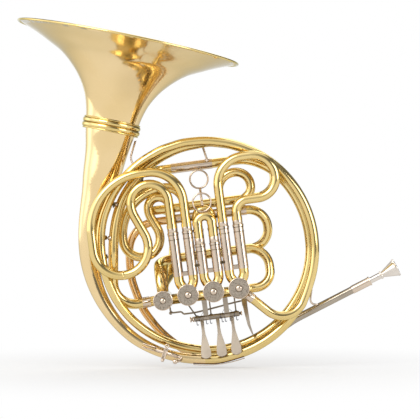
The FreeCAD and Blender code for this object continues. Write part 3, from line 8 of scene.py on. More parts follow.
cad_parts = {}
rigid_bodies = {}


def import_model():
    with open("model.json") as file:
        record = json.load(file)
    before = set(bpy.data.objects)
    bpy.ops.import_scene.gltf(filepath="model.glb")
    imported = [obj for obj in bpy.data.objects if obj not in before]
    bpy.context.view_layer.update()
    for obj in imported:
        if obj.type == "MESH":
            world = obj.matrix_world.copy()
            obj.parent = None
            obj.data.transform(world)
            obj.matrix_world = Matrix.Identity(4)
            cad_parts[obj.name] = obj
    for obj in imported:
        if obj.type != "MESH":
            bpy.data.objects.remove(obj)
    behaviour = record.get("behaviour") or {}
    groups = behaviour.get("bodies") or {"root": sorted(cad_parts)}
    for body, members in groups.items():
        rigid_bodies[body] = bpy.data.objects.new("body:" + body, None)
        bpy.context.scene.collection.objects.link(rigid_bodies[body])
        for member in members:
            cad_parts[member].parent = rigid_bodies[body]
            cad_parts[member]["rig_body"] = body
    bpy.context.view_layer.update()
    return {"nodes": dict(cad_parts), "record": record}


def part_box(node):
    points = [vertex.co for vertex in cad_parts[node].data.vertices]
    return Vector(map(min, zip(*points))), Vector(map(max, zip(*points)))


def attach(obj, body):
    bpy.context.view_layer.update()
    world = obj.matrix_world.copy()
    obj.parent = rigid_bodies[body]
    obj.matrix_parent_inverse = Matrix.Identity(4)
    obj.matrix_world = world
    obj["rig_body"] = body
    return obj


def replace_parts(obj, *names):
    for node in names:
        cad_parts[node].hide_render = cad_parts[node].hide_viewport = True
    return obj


# Double french horn. Lengths are in metres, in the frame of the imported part:
# +X towards the mouthpiece, +Z up, the valve caps face -Y.

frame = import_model()
nodes = frame["nodes"]
print("frame loaded:", len(nodes), "nodes")


# Node groups that more than one finish uses

def newGroup(name, inputs, outputs):
    group = bpy.data.node_groups.new(name, "ShaderNodeTree")
    for label, kind, value in inputs:
        socket = group.interface.new_socket(name=label, in_out="INPUT", socket_type=kind)
        socket.default_value = value
    for label, kind in outputs:
        group.interface.new_socket(name=label, in_out="OUTPUT", socket_type=kind)
    return group, group.nodes.new("NodeGroupInput"), group.nodes.new("NodeGroupOutput")


def addNode(tree, kind, **settings):
    node = tree.nodes.new(kind)
    for key, value in settings.items():
        setattr(node, key, value)
    return node


handling = dict(
    toneStart=0.35, toneEnd=0.7, toneDetail=3, hazeScale=70, hazeDetail=5, hazeGrain=0.62,
    polishStart=0.4, polishEnd=0.75, rippleScale=45, rippleDetail=1, rippleHeight=0.001,
    coatRoughness=0.06,
)


def buildHandledMetal():
    # Slow drift of the tone, cloudy polish and the haze that hands leave
    group, groupIn, groupOut = newGroup(
        "handledMetal",
        [
            ("Clean Color", "NodeSocketColor", (0.8, 0.6, 0.3, 1)),
            ("Deep Color", "NodeSocketColor", (0.6, 0.4, 0.2, 1)),
            ("Patch Scale", "NodeSocketFloat", 18.0),
            ("Low Roughness", "NodeSocketFloat", 0.1),
            ("High Roughness", "NodeSocketFloat", 0.25),
            ("Ripple", "NodeSocketFloat", 0.02),
        ],
        [
            ("Color", "NodeSocketColor"),
            ("Roughness", "NodeSocketFloat"),
            ("Normal", "NodeSocketVector"),
        ],
    )
    link = group.links.new
    place = addNode(group, "ShaderNodeTexCoord")
    patches = addNode(group, "ShaderNodeTexNoise")
    patches.inputs["Detail"].default_value = handling["toneDetail"]
    link(place.outputs["Object"], patches.inputs["Vector"])
    link(groupIn.outputs["Patch Scale"], patches.inputs["Scale"])
    spread = addNode(group, "ShaderNodeMapRange")
    spread.inputs["From Min"].default_value = handling["toneStart"]
    spread.inputs["From Max"].default_value = handling["toneEnd"]
    link(patches.outputs["Fac"], spread.inputs["Value"])
    tone = addNode(group, "ShaderNodeMix", data_type="RGBA")
    link(spread.outputs["Result"], tone.inputs["Factor"])
    link(groupIn.outputs["Clean Color"], tone.inputs[6])
    link(groupIn.outputs["Deep Color"], tone.inputs[7])
    haze = addNode(group, "ShaderNodeTexNoise")
    haze.inputs["Scale"].default_value = handling["hazeScale"]
    haze.inputs["Detail"].default_value = handling["hazeDetail"]
    haze.inputs["Roughness"].default_value = handling["hazeGrain"]
    link(place.outputs["Object"], haze.inputs["Vector"])
    polish = addNode(group, "ShaderNodeMapRange")
    polish.inputs["From Min"].default_value = handling["polishStart"]
    polish.inputs["From Max"].default_value = handling["polishEnd"]
    link(haze.outputs["Fac"], polish.inputs["Value"])
    link(groupIn.outputs["Low Roughness"], polish.inputs["To Min"])
    link(groupIn.outputs["High Roughness"], polish.inputs["To Max"])
    ripple = addNode(group, "ShaderNodeTexNoise")
    ripple.inputs["Scale"].default_value = handling["rippleScale"]
    ripple.inputs["Detail"].default_value = handling["rippleDetail"]
    link(place.outputs["Object"], ripple.inputs["Vector"])
    bump = addNode(group, "ShaderNodeBump")
    bump.inputs["Distance"].default_value = handling["rippleHeight"]
    link(ripple.outputs["Fac"], bump.inputs["Height"])
    link(groupIn.outputs["Ripple"], bump.inputs["Strength"])
    link(tone.outputs[2], groupOut.inputs["Color"])
    link(polish.outputs["Result"], groupOut.inputs["Roughness"])
    link(bump.outputs["Normal"], groupOut.inputs["Normal"])
    return group


handledMetal = buildHandledMetal()

metalFinishes = {
    "lacqueredBrass": dict(
        clean=(0.83, 0.635, 0.27), deep=(0.76, 0.56, 0.205), patch=16,
        low=0.09, high=0.15, ripple=0.008, edge=(0.42, 0.42, 0.22), coat=0.5,
    ),
    "bellBrass": dict(
        clean=(0.87, 0.665, 0.36), deep=(0.81, 0.60, 0.29), patch=12,
        low=0.10, high=0.16, ripple=0.006, edge=(0.46, 0.43, 0.28), coat=0.6,
    ),
    "nickelSilver": dict(
        clean=(0.72, 0.60, 0.48), deep=(0.64, 0.52, 0.41), patch=24,
        low=0.14, high=0.24, ripple=0.006, edge=(0.50, 0.44, 0.37), coat=0.1,
    ),
    "roseBrass": dict(
        clean=(0.84, 0.56, 0.28), deep=(0.77, 0.47, 0.20), patch=18,
        low=0.11, high=0.18, ripple=0.008, edge=(0.44, 0.34, 0.18), coat=0.2,
    ),
    "silverPlate": dict(
        clean=(0.80, 0.74, 0.67), deep=(0.72, 0.66, 0.59), patch=40,
        low=0.07, high=0.13, ripple=0.004, edge=(0.62, 0.58, 0.54), coat=0.0,
    ),
    "satinNickel": dict(
        clean=(0.50, 0.43, 0.35), deep=(0.44, 0.375, 0.30), patch=60,
        low=0.30, high=0.40, ripple=0.004, edge=(0.44, 0.39, 0.32), coat=0.0,
    ),
    # Painted shade: a darker copy of nickel that makes the lead pipe look shaded
    "paintedShadeNickel": dict(
        clean=(0.46, 0.40, 0.32), deep=(0.38, 0.32, 0.25), patch=30,
        low=0.12, high=0.22, ripple=0.006, edge=(0.42, 0.37, 0.30), coat=0.1,
    ),
    "leverNickel": dict(
        clean=(0.37, 0.315, 0.25), deep=(0.32, 0.27, 0.215), patch=60,
        low=0.36, high=0.46, ripple=0.004, edge=(0.40, 0.36, 0.30), coat=0.0,
    ),
    # Painted shade: a dark finish for grooves, the rings round the cap domes, the sleeve beads and
    # the stay flanges
    "grooveShadow": dict(
        clean=(0.20, 0.155, 0.09), deep=(0.12, 0.09, 0.05), patch=120,
        low=0.35, high=0.5, ripple=0.004, edge=(0.16, 0.12, 0.08), coat=0.0,
    ),
    "springSteel": dict(
        clean=(0.15, 0.15, 0.18), deep=(0.10, 0.10, 0.12), patch=90,
        low=0.25, high=0.38, ripple=0.03, edge=(0.16, 0.16, 0.18), coat=0.0,
    ),
}


def makeMetal(name, look):
    material = bpy.data.materials.new(name)
    material.use_nodes = True
    tree = material.node_tree
    shader = tree.nodes["Principled BSDF"]
    handled = addNode(tree, "ShaderNodeGroup", node_tree=handledMetal)
    handled.inputs["Clean Color"].default_value = (*look["clean"], 1)
    handled.inputs["Deep Color"].default_value = (*look["deep"], 1)
    handled.inputs["Patch Scale"].default_value = look["patch"]
    handled.inputs["Low Roughness"].default_value = look["low"]
    handled.inputs["High Roughness"].default_value = look["high"]
    handled.inputs["Ripple"].default_value = look["ripple"]
    for label in ("Color", "Roughness", "Normal"):
        target = "Base Color" if label == "Color" else label
        tree.links.new(handled.outputs[label], shader.inputs[target])
    shader.inputs["Metallic"].default_value = 1.0
    shader.inputs["Specular Tint"].default_value = (*look["edge"], 1)
    shader.inputs["Coat Weight"].default_value = look["coat"]
    shader.inputs["Coat Roughness"].default_value = handling["coatRoughness"]
    return material


materials = {name: makeMetal(name, look) for name, look in metalFinishes.items()}


cork = dict(
    grains=900, grainColor=(0.50, 0.30, 0.15), binderColor=(0.22, 0.11, 0.05),
    depth=0.0003, strength=0.6, roughness=0.9,
)


def makeCork():
    # Pressed cork: light grains in darker binder
    material = bpy.data.materials.new("bumperCork")
    material.use_nodes = True
    tree = material.node_tree
    shader = tree.nodes["Principled BSDF"]
    place = addNode(tree, "ShaderNodeTexCoord")
    grain = addNode(tree, "ShaderNodeTexVoronoi")
    grain.inputs["Scale"].default_value = cork["grains"]
    tree.links.new(place.outputs["Object"], grain.inputs["Vector"])
    ramp = addNode(tree, "ShaderNodeValToRGB")
    ramp.color_ramp.elements[0].color = (*cork["grainColor"], 1)
    ramp.color_ramp.elements[1].color = (*cork["binderColor"], 1)
    tree.links.new(grain.outputs["Distance"], ramp.inputs["Fac"])
    tree.links.new(ramp.outputs["Color"], shader.inputs["Base Color"])
    bump = addNode(tree, "ShaderNodeBump")
    bump.inputs["Distance"].default_value = cork["depth"]
    bump.inputs["Strength"].default_value = cork["strength"]
    tree.links.new(grain.outputs["Distance"], bump.inputs["Height"])
    tree.links.new(bump.outputs["Normal"], shader.inputs["Normal"])
    shader.inputs["Roughness"].default_value = cork["roughness"]
    return material


stipple = dict(cells=620, scatter=0.55, dotEnd=0.42, dotShade=(0.07, 0.055, 0.04), depth=0.00025)


def makeStippledNickel():
    # Punched dots in the flat ring of each cap; their near-black colour is painted shade inside the
    # dots
    material = makeMetal("stippledNickel", metalFinishes["satinNickel"])
    tree = material.node_tree
    shader = tree.nodes["Principled BSDF"]
    source = shader.inputs["Base Color"].links[0].from_socket
    place = addNode(tree, "ShaderNodeTexCoord")
    cells = addNode(tree, "ShaderNodeTexVoronoi")
    cells.inputs["Scale"].default_value = stipple["cells"]
    cells.inputs["Randomness"].default_value = stipple["scatter"]
    tree.links.new(place.outputs["Object"], cells.inputs["Vector"])
    dots = addNode(tree, "ShaderNodeMapRange")
    dots.inputs["From Min"].default_value = stipple["dotEnd"] / 2
    dots.inputs["From Max"].default_value = stipple["dotEnd"]
    tree.links.new(cells.outputs["Distance"], dots.inputs["Value"])
    tone = addNode(tree, "ShaderNodeMix", data_type="RGBA")
    tone.inputs[6].default_value = (*stipple["dotShade"], 1)
    tree.links.new(dots.outputs["Result"], tone.inputs["Factor"])
    tree.links.new(source, tone.inputs[7])
    tree.links.new(tone.outputs[2], shader.inputs["Base Color"])
    bump = addNode(tree, "ShaderNodeBump")
    bump.inputs["Distance"].default_value = stipple["depth"]
    tree.links.new(dots.outputs["Result"], bump.inputs["Height"])
    tree.links.new(bump.outputs["Normal"], shader.inputs["Normal"])
    return material


materials["bumperCork"] = makeCork()
materials["stippledNickel"] = makeStippledNickel()
print("finishes ready:", len(materials))


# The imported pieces, each as a merged and smoothly shaded copy in its own finish

finishOfSlot = {
    "lacquered_brass": "lacqueredBrass",
    "nickel_silver": "nickelSilver",
    "rose_brass": "roseBrass",
    "silver_plate": "silverPlate",
    "spring_steel": "springSteel",
    "cork": "bumperCork",
}
slotOfNode = {entry["node"]: entry["material_slot"] for entry in frame["record"]["subparts"]}


def onlySelect(piece):
    bpy.ops.object.select_all(action="DESELECT")
    piece.select_set(True)
    bpy.context.view_layer.objects.active = piece


shading = dict(smoothAngle=34, mergeGap=0.000004, flatAngle=0.2, edgeAngle=40, edgeSteps=2)


def smoothCopy(name, bevel=0.0):
    source = nodes[name]
    piece = source.copy()
    piece.data = source.data.copy()
    piece.name = name + "_finished"
    bpy.context.scene.collection.objects.link(piece)
    piece.parent = None
    onlySelect(piece)
    bpy.ops.object.mode_set(mode="EDIT")
    bpy.ops.mesh.select_all(action="SELECT")
    bpy.ops.mesh.remove_doubles(threshold=shading["mergeGap"])
    bpy.ops.object.mode_set(mode="OBJECT")
    if bevel:
        flat = piece.modifiers.new("flatFaces", "DECIMATE")
        flat.decimate_type = "DISSOLVE"
        flat.angle_limit = math.radians(shading["flatAngle"])
        soft = piece.modifiers.new("softEdges", "BEVEL")
        soft.width = bevel
        soft.segments = shading["edgeSteps"]
        soft.limit_method = "ANGLE"
        soft.angle_limit = math.radians(shading["edgeAngle"])
        for modifier in ("flatFaces", "softEdges"):
            bpy.ops.object.modifier_apply(modifier=modifier)
    bpy.ops.object.shade_smooth_by_angle(angle=math.radians(shading["smoothAngle"]))
    if bevel:
        level = piece.modifiers.new("levelFaces", "WEIGHTED_NORMAL")
        level.keep_sharp = True
        bpy.ops.object.modifier_apply(modifier="levelFaces")
    piece.data.materials.clear()
    piece.data.materials.append(materials[finishOfSlot[slotOfNode[name]]])
    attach(piece, source["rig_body"])
    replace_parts(piece, name)
    return piece


# Fittings with flat sides get broken edges
softEdges = {
    "lever1": 0.0003, "lever2": 0.0003, "lever3": 0.0003, "thumb_lever": 0.0003,
    "hinge_posts": 0.0004,
}
remade = ["front_caps", "bell_collar", "tail_collar", "hook_clamp", "clamp_screw"]

# Pieces whose finish differs from that of their slot
ownFinish = {
    "lever1": "leverNickel", "lever2": "leverNickel", "lever3": "leverNickel",
    # The lead pipe takes the darker nickel copy, painted shade
    "hinge_posts": "satinNickel", "thumb_lever": "satinNickel", "lead_pipe": "paintedShadeNickel",
    "bell_flare": "bellBrass", "bell_tail": "bellBrass",
    "link1": "leverNickel", "link2": "leverNickel", "link3": "leverNickel",
    "thumb_link": "leverNickel",
}
finished = {
    name: smoothCopy(name, bevel=softEdges.get(name, 0.0)) for name in nodes if name not in remade
}
for name, finish in ownFinish.items():
    finished[name].data.materials[0] = materials[finish]
print("pieces finished:", len(finished))


# The frame of the valves: u along the row, v up the legs

row = dict(
    origin=(0.0112, 0, 0.094), tilt=7.5, pitch=0.0348, legGap=0.01, frontLevel=-0.0148,
    backLevel=0.0265, changeDrop=0.0033,
)


def turnedAt(origin, turn):
    # A place that is turned about Y by so many degrees
    return Matrix.Translation(origin) @ Matrix.Rotation(math.radians(turn), 4, "Y")


rowFrame = turnedAt(row["origin"], -row["tilt"])
fromRow = rowFrame.inverted()
valvePlaces = {"valve1": 1, "valve2": 0, "valve3": -1}


def paintPart(piece, finish, test):
    # A second finish on the faces that pass the test, given in the frame of the valves
    piece.data.materials.append(materials[finish])
    for face in piece.data.polygons:
        if test(fromRow @ face.center):
            face.material_index = 1


paint = dict(
    legFoot=0.0262, frontRing=0.1075, backRing=0.1178,
    bowFerrules={"main_slide": (0.0519, 0.0596), "f_tuning_slide": (-0.0364, -0.0288)},
)
for name in ("valve1_sleeves", "valve2_sleeves", "valve3_sleeves"):
    paintPart(finished[name], "lacqueredBrass", lambda spot: spot.z < paint["legFoot"])
paintPart(finished["f2_slide"], "nickelSilver", lambda spot: spot.z > paint["frontRing"])
paintPart(finished["b2_slide"], "nickelSilver", lambda spot: spot.z > paint["backRing"])
for name, (low, high) in paint["bowFerrules"].items():
    paintPart(finished[name], "nickelSilver", lambda spot: low < spot.x < high)


def settle(piece, place, body, finish, angle=30):
    # Puts the piece's place into its mesh and gives it its finish
    piece.matrix_world = place @ piece.matrix_world
    onlySelect(piece)
    bpy.ops.object.transform_apply(location=True, rotation=True, scale=True)
    bpy.ops.object.shade_smooth_by_angle(angle=math.radians(angle))
    if not piece.data.materials:
        piece.data.materials.append(materials[finish])
    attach(piece, body)
    return piece


def selectFaces(piece, test):
    # In edit mode, only the faces that pass the test
    mesh = bmesh.from_edit_mesh(piece.data)
    for face in mesh.faces:
        face.select_set(bool(test(face)))
    mesh.select_flush_mode()
    bmesh.update_edit_mesh(piece.data)


def modelled(name):
    piece = bpy.context.active_object
    piece.name = name
    onlySelect(piece)
    bpy.ops.object.mode_set(mode="EDIT")
    bpy.ops.mesh.select_mode(type="FACE")
    return piece


def joined(name, pieces):
    bpy.ops.object.select_all(action="DESELECT")
    for piece in pieces:
        piece.select_set(True)
    bpy.context.view_layer.objects.active = pieces[0]
    bpy.ops.object.join()
    pieces[0].name = name
    return pieces[0]


# Valve caps: knurled edge, punched flat ring, a polished dome and a ring of painted shade round its
# foot

valveCap = dict(
    radius=0.0145, changeRadius=0.0132, height=0.0036, teeth=72, toothDepth=-0.0003,
    toothEdge=0.00012, smallestTooth=0.000002, flatNormal=0.9, sideNormal=0.1,
    steps=[(0.0006, 0.0004), (0.0005, 0.0), (0.0003, -0.0004)], stepsWidth=0.0014,
    ringEnd=0.0013, ringShare=0.33, groove=0.0004,
    dome=[(0.0004, -0.0005), (0.0001, 0.0011), (0.0006, 0.0008), (0.001, 0.0006), (0.001, 0.0003)],
)


def makeCap(name, radius, u, v, front):
    bpy.ops.mesh.primitive_cylinder_add(
        vertices=valveCap["teeth"], radius=radius, depth=valveCap["height"],
        location=(0, 0, valveCap["height"] / 2), end_fill_type="NGON",
    )
    piece = modelled(name)
    for finish in ("nickelSilver", "stippledNickel", "grooveShadow"):
        piece.data.materials.append(materials[finish])
    bpy.ops.object.mode_set(mode="OBJECT")
    onlySelect(piece)
    bpy.ops.object.transform_apply(location=True)
    bpy.ops.object.mode_set(mode="EDIT")
    selectFaces(piece, lambda face: face.normal.z > valveCap["flatNormal"])
    for thickness, depth in valveCap["steps"]:
        bpy.ops.mesh.inset(thickness=thickness, depth=depth)
    bpy.ops.mesh.inset(thickness=radius * (1 - valveCap["ringShare"]) - valveCap["stepsWidth"])
    for thickness, depth in valveCap["dome"]:
        bpy.ops.mesh.inset(thickness=thickness, depth=depth)
    selectFaces(
        piece,
        lambda face: abs(face.normal.z) < valveCap["sideNormal"]
        and face.calc_area() > valveCap["smallestTooth"],
    )
    mesh = bmesh.from_edit_mesh(piece.data)
    for face in [face for face in mesh.faces if face.select]:
        middle = face.calc_center_median()
        step = round(math.atan2(middle.y, middle.x) / math.tau * valveCap["teeth"] - 0.5)
        face.select_set(step % 2 == 0)
    bmesh.update_edit_mesh(piece.data)
    bpy.ops.mesh.inset(
        thickness=valveCap["toothEdge"], depth=valveCap["toothDepth"], use_individual=True,
    )
    # The flat ring takes the punched dots; a thin ring round the dome's foot takes the grooveShadow
    # finish, painted shade
    ringStart = radius * valveCap["ringShare"]
    mesh = bmesh.from_edit_mesh(piece.data)
    for face in mesh.faces:
        reach = face.calc_center_median().to_2d().length
        flat = face.normal.z > valveCap["flatNormal"]
        if flat and ringStart < reach < radius - valveCap["ringEnd"]:
            face.material_index = 1
        elif ringStart - valveCap["groove"] < reach < ringStart:
            face.material_index = 2
    bmesh.update_edit_mesh(piece.data)
    bpy.ops.object.mode_set(mode="OBJECT")
    place = rowFrame @ Matrix.Translation((u, front, v)) @ Matrix.Rotation(math.pi / 2, 4, "X")
    return settle(
        piece, place, nodes["front_caps"]["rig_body"], "nickelSilver",
    )


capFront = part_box("valve1_casing")[0][1]
caps = [
    makeCap("cap" + str(index + 1), valveCap["radius"], (1 - index) * row["pitch"], 0, capFront)
    for index in range(3)
]
caps.append(
    makeCap("changeCap", valveCap["changeRadius"], -2 * row["pitch"], -row["changeDrop"], capFront)
)
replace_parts(joined("front_caps_finished", caps), "front_caps")
print("caps finished")


# Turned bands where the flare screws to the tail, as points of radius and height in millimetres

bellJoint = dict(
    origin=(-0.129105, 0.022, 0.32076), lean=11.4, steps=144, mergeGap=0.000005, smoothAngle=50,
    millimetre=0.001,
)
collarOutlines = {
    "bell_collar": [
        (37.4, -1.0), (38.9, -1.0), (39.6, -0.6), (40.1, 0.5), (40.3, 1.9), (40.15, 3.3),
        (39.6, 4.4), (38.9, 4.9), (38.8, 5.2), (39.2, 5.5), (39.4, 6.1), (39.2, 6.7),
        (38.6, 7.0), (37.9, 7.0),
    ],
    "tail_collar": [
        (34.75, -1.3), (38.8, -1.3), (39.5, -1.7), (40.2, -2.8), (40.4, -4.3), (40.2, -5.9),
        (39.5, -7.1), (38.6, -7.7), (38.5, -8.0), (38.9, -8.3), (39.0, -9.0), (38.7, -9.6),
        (38.0, -9.9), (34.75, -9.9),
    ],
}


def turnedBand(name, outline):
    millimetre = bellJoint["millimetre"]
    first = outline[0]
    bpy.ops.mesh.primitive_circle_add(vertices=bellJoint["steps"], radius=first[0] * millimetre)
    piece = modelled(name + "_finished")
    bpy.ops.mesh.select_mode(type="EDGE")
    bpy.ops.mesh.select_all(action="SELECT")
    bpy.ops.transform.translate(value=(0, 0, first[1] * millimetre))
    for (radius, height), (nextRadius, nextHeight) in zip(outline, outline[1:] + [first]):
        bpy.ops.mesh.extrude_edges_move(
            TRANSFORM_OT_translate={"value": (0, 0, (nextHeight - height) * millimetre)}
        )
        share = nextRadius / radius
        bpy.ops.transform.resize(value=(share, share, 1), center_override=(0, 0, 0))
    bpy.ops.mesh.select_all(action="SELECT")
    bpy.ops.mesh.remove_doubles(threshold=bellJoint["mergeGap"])
    bpy.ops.mesh.normals_make_consistent(inside=False)
    bpy.ops.object.mode_set(mode="OBJECT")
    settle(
        piece, turnedAt(bellJoint["origin"], bellJoint["lean"]), nodes[name]["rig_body"],
        "lacqueredBrass", angle=bellJoint["smoothAngle"],
    )
    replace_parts(piece, name)


for name, outline in collarOutlines.items():
    turnedBand(name, outline)
print("collars finished")


# Clamp of the finger hook: a rounded strap across the hook's stem, two wire rails on the ring,
# and a pin with a ring head and a ball end

hookClamp = dict(
    place=(-0.05505, 0.0021, 0.009975), lean=18, railLevel=0.003,
    strapSize=(0.0058, 0.0066, 0.0142), strapPlace=(0, -0.0005, -0.0022), frontNormal=-0.9,
    strapBevel=0.0022, bevelSteps=4, bevelAngle=50, slotEdge=0.0011, slotSlope=0.0003,
    slotDepth=-0.0008, ringUp=0.0066, ringRadius=0.0024, ringWire=0.0009, ballDown=-0.0112,
    ballRadius=0.0024, pinRadius=0.0011, smoothAngle=40,
)
clampFrame = turnedAt(hookClamp["place"], hookClamp["lean"])


def makeRails():
    # The rails alone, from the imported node
    piece = smoothCopy("hook_clamp")
    onlySelect(piece)
    bpy.ops.object.mode_set(mode="EDIT")
    bpy.ops.mesh.select_mode(type="VERT")
    bpy.ops.mesh.select_all(action="DESELECT")
    mesh = bmesh.from_edit_mesh(piece.data)
    for start in [vert for vert in mesh.verts if vert.co.y < hookClamp["railLevel"]]:
        start.select_set(True)
    bmesh.update_edit_mesh(piece.data)
    bpy.ops.mesh.select_linked()
    bpy.ops.mesh.delete(type="VERT")
    bpy.ops.object.mode_set(mode="OBJECT")


def makeStrap():
    bpy.ops.mesh.primitive_cube_add(size=1, location=(0, 0, 0))
    piece = bpy.context.active_object
    piece.scale = hookClamp["strapSize"]
    piece.location = hookClamp["strapPlace"]
    onlySelect(piece)
    bpy.ops.object.transform_apply(location=True, scale=True)
    piece = modelled("hookStrap")
    selectFaces(piece, lambda face: face.normal.y < hookClamp["frontNormal"])
    bpy.ops.mesh.inset(thickness=hookClamp["slotEdge"])
    bpy.ops.mesh.inset(thickness=hookClamp["slotSlope"], depth=hookClamp["slotDepth"])
    bpy.ops.object.mode_set(mode="OBJECT")
    edge = piece.modifiers.new("edge", "BEVEL")
    edge.width = hookClamp["strapBevel"]
    edge.segments = hookClamp["bevelSteps"]
    edge.limit_method = "ANGLE"
    edge.angle_limit = math.radians(hookClamp["bevelAngle"])
    bpy.ops.object.modifier_apply(modifier="edge")
    settle(
        piece, clampFrame, nodes["hook_clamp"]["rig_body"], "nickelSilver",
    )
    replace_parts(piece, "hook_clamp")


def makePin():
    parts = []
    bpy.ops.mesh.primitive_torus_add(
        location=(0, 0, hookClamp["ringUp"] + hookClamp["ringRadius"]), rotation=(math.pi / 2, 0, 0),
        major_radius=hookClamp["ringRadius"], minor_radius=hookClamp["ringWire"],
        major_segments=36, minor_segments=12,
    )
    parts.append(bpy.context.active_object)
    length = hookClamp["ringUp"] - hookClamp["ballDown"]
    bpy.ops.mesh.primitive_cylinder_add(
        vertices=24, radius=hookClamp["pinRadius"], depth=length,
        location=(0, 0, hookClamp["ballDown"] + length / 2),
    )
    parts.append(bpy.context.active_object)
    bpy.ops.mesh.primitive_uv_sphere_add(
        segments=24, ring_count=16, radius=hookClamp["ballRadius"],
        location=(0, 0, hookClamp["ballDown"]),
    )
    parts.append(bpy.context.active_object)
    pin = settle(
        joined("clamp_screw_finished", parts), clampFrame, nodes["clamp_screw"]["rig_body"],
        "nickelSilver", angle=hookClamp["smoothAngle"],
    )
    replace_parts(pin, "clamp_screw")


makeRails()
makeStrap()
makePin()
print("clamp finished")


# Hooked wire ends of the lever springs, under the hinge rod

springHooks = dict(
    places=(-0.0282, -0.0152, -0.0097, 0.0064, 0.0107, 0.0175, 0.0263), level=0.0052,
    top=-0.0372, bottom=-0.0428, wire=0.0005, curl=0.0010, smoothAngle=40,
)


def makeHook(along):
    wire, curl, bottom = springHooks["wire"], springHooks["curl"], springHooks["bottom"]
    length = springHooks["top"] - bottom
    bpy.ops.mesh.primitive_cylinder_add(
        vertices=12, radius=wire, depth=length,
        location=(along, springHooks["level"], bottom + length / 2),
    )
    shank = bpy.context.active_object
    center = (along + curl, springHooks["level"], bottom)
    bpy.ops.mesh.primitive_torus_add(
        location=center, rotation=(math.pi / 2, 0, 0), major_radius=curl, minor_radius=wire,
        major_segments=24, minor_segments=12,
    )
    bend = bpy.context.active_object
    onlySelect(bend)
    bpy.ops.object.mode_set(mode="EDIT")
    bpy.ops.mesh.select_all(action="SELECT")
    bpy.ops.mesh.bisect(plane_co=center, plane_no=(0, 0, 1), use_fill=True, clear_outer=True)
    bpy.ops.object.mode_set(mode="OBJECT")
    return [shank, bend]


settle(
    joined("spring_hooks", [part for along in springHooks["places"] for part in makeHook(along)]),
    rowFrame, nodes["lever_springs"]["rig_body"], "springSteel",
    angle=springHooks["smoothAngle"],
)
print("spring hooks made")


# Beads round the sleeves' tops in painted groove shade, and the slides' own ferrules

bead = dict(radius=0.0069, wire=0.0004, drops=(0.0002, 0.0034, 0.0098))
ferrule = dict(radius=0.0063, wall=0.00035, height=0.0078, lift=0.0004, edge=0.00015)
sleeveTops = {
    "f1_slide": ("valve1", "frontLevel", 0.086), "b1_slide": ("valve1", "backLevel", 0.086),
    "f2_slide": ("valve2", "frontLevel", 0.066), "b2_slide": ("valve2", "backLevel", 0.086),
    "f3_slide": ("valve3", "frontLevel", 0.086), "b3_slide": ("valve3", "backLevel", 0.086),
}


def legPlaces(slide):
    valve, level, top = sleeveTops[slide]
    middle = valvePlaces[valve] * row["pitch"]
    return [(middle + side * row["legGap"], row[level], top) for side in (-1, 1)]


def makeBeads(name, places, body):
    beads = []
    for u, y, top in places:
        for drop in bead["drops"]:
            bpy.ops.mesh.primitive_torus_add(
                location=(u, y, top - drop), major_radius=bead["radius"], minor_radius=bead["wire"],
                major_segments=40, minor_segments=8,
            )
            beads.append(bpy.context.active_object)
    return settle(joined(name, beads), rowFrame, body, "grooveShadow")


def makeFerrules(name, places, body):
    bands = []
    for u, y, top in places:
        bpy.ops.mesh.primitive_cylinder_add(
            vertices=48, radius=ferrule["radius"], depth=ferrule["height"], end_fill_type="NOTHING",
            location=(u, y, top + ferrule["lift"] + ferrule["height"] / 2),
        )
        band = bpy.context.active_object
        wall = band.modifiers.new("wall", "SOLIDIFY")
        wall.thickness = ferrule["wall"]
        wall.offset = 1
        edge = band.modifiers.new("edge", "BEVEL")
        edge.width = ferrule["edge"]
        edge.segments = 2
        onlySelect(band)
        for modifier in ("wall", "edge"):
            bpy.ops.object.modifier_apply(modifier=modifier)
        bands.append(band)
    return settle(joined(name, bands), rowFrame, body, "nickelSilver")


allLegs = [place for slide in sleeveTops for place in legPlaces(slide)]
makeBeads("sleeveShadeBeads", allLegs, nodes["valve1_sleeves"]["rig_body"])
for slide in sleeveTops:
    makeFerrules(slide + "Ferrules", legPlaces(slide), nodes[slide]["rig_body"])
print("beads and ferrules finished")


# Diamond flanges where stays are soldered on, dark with painted shade

flange = dict(long=0.0048, wide=0.0024, thick=0.0005, ball=0.0012, ballStretch=1.6)


def makeFlange(name, place, body):
    bpy.ops.mesh.primitive_circle_add(vertices=4, radius=1.0, fill_type="NGON")
    plate = bpy.context.active_object
    plate.scale = (flange["long"], flange["wide"], 1)
    onlySelect(plate)
    bpy.ops.object.transform_apply(scale=True)
    wall = plate.modifiers.new("wall", "SOLIDIFY")
    wall.thickness = flange["thick"]
    edge = plate.modifiers.new("edge", "BEVEL")
    edge.width = flange["thick"] / 3
    edge.segments = 2
    for modifier in ("wall", "edge"):
        bpy.ops.object.modifier_apply(modifier=modifier)
    bpy.ops.mesh.primitive_uv_sphere_add(segments=20, ring_count=12, radius=flange["ball"])
    ball = bpy.context.active_object
    ball.scale = (1, 1, flange["ballStretch"])
    both = joined(name, [plate, ball])
    return settle(both, place, body, "grooveShadow")


def facing(place, turn):
    # Flat towards the front
    return turnedAt(place, turn) @ Matrix.Rotation(math.pi / 2, 4, "X")


flangePlaces = {
    "upperBraceFlange": (-0.1247, 0.0005, 0.2114, -72, "bell_branch"),
    "lowerBraceFlange": (-0.1349, 0.0003, 0.1404, -84, "bell_branch"),
    "leftLegFlange": (-0.0113, -0.0205, 0.1295, 0, "valve3_sleeves"),
    "rightLegFlange": (0.0228, -0.0205, 0.1336, 0, "valve2_sleeves"),
    "loopFlange": (-0.0864, -0.0148, 0.2455, -55, "f3_slide"),
}
for name, (x, y, z, turn, carrier) in flangePlaces.items():
    makeFlange(name, facing((x, y, z), turn), nodes[carrier]["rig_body"])
print("flanges finished")


# Studio: a pale floor, a white surround and three soft lamps

studio = dict(
    floorHeight=-0.012, floorSize=8.0, floorColor=(0.86, 0.86, 0.86), floorRoughness=0.8,
    surround=1.0, fill=0.5, dimRoom=0.19, aim=(0, 0, 0.2),
)
floorFade = dict(start=0.06, end=0.6, least=0.45)

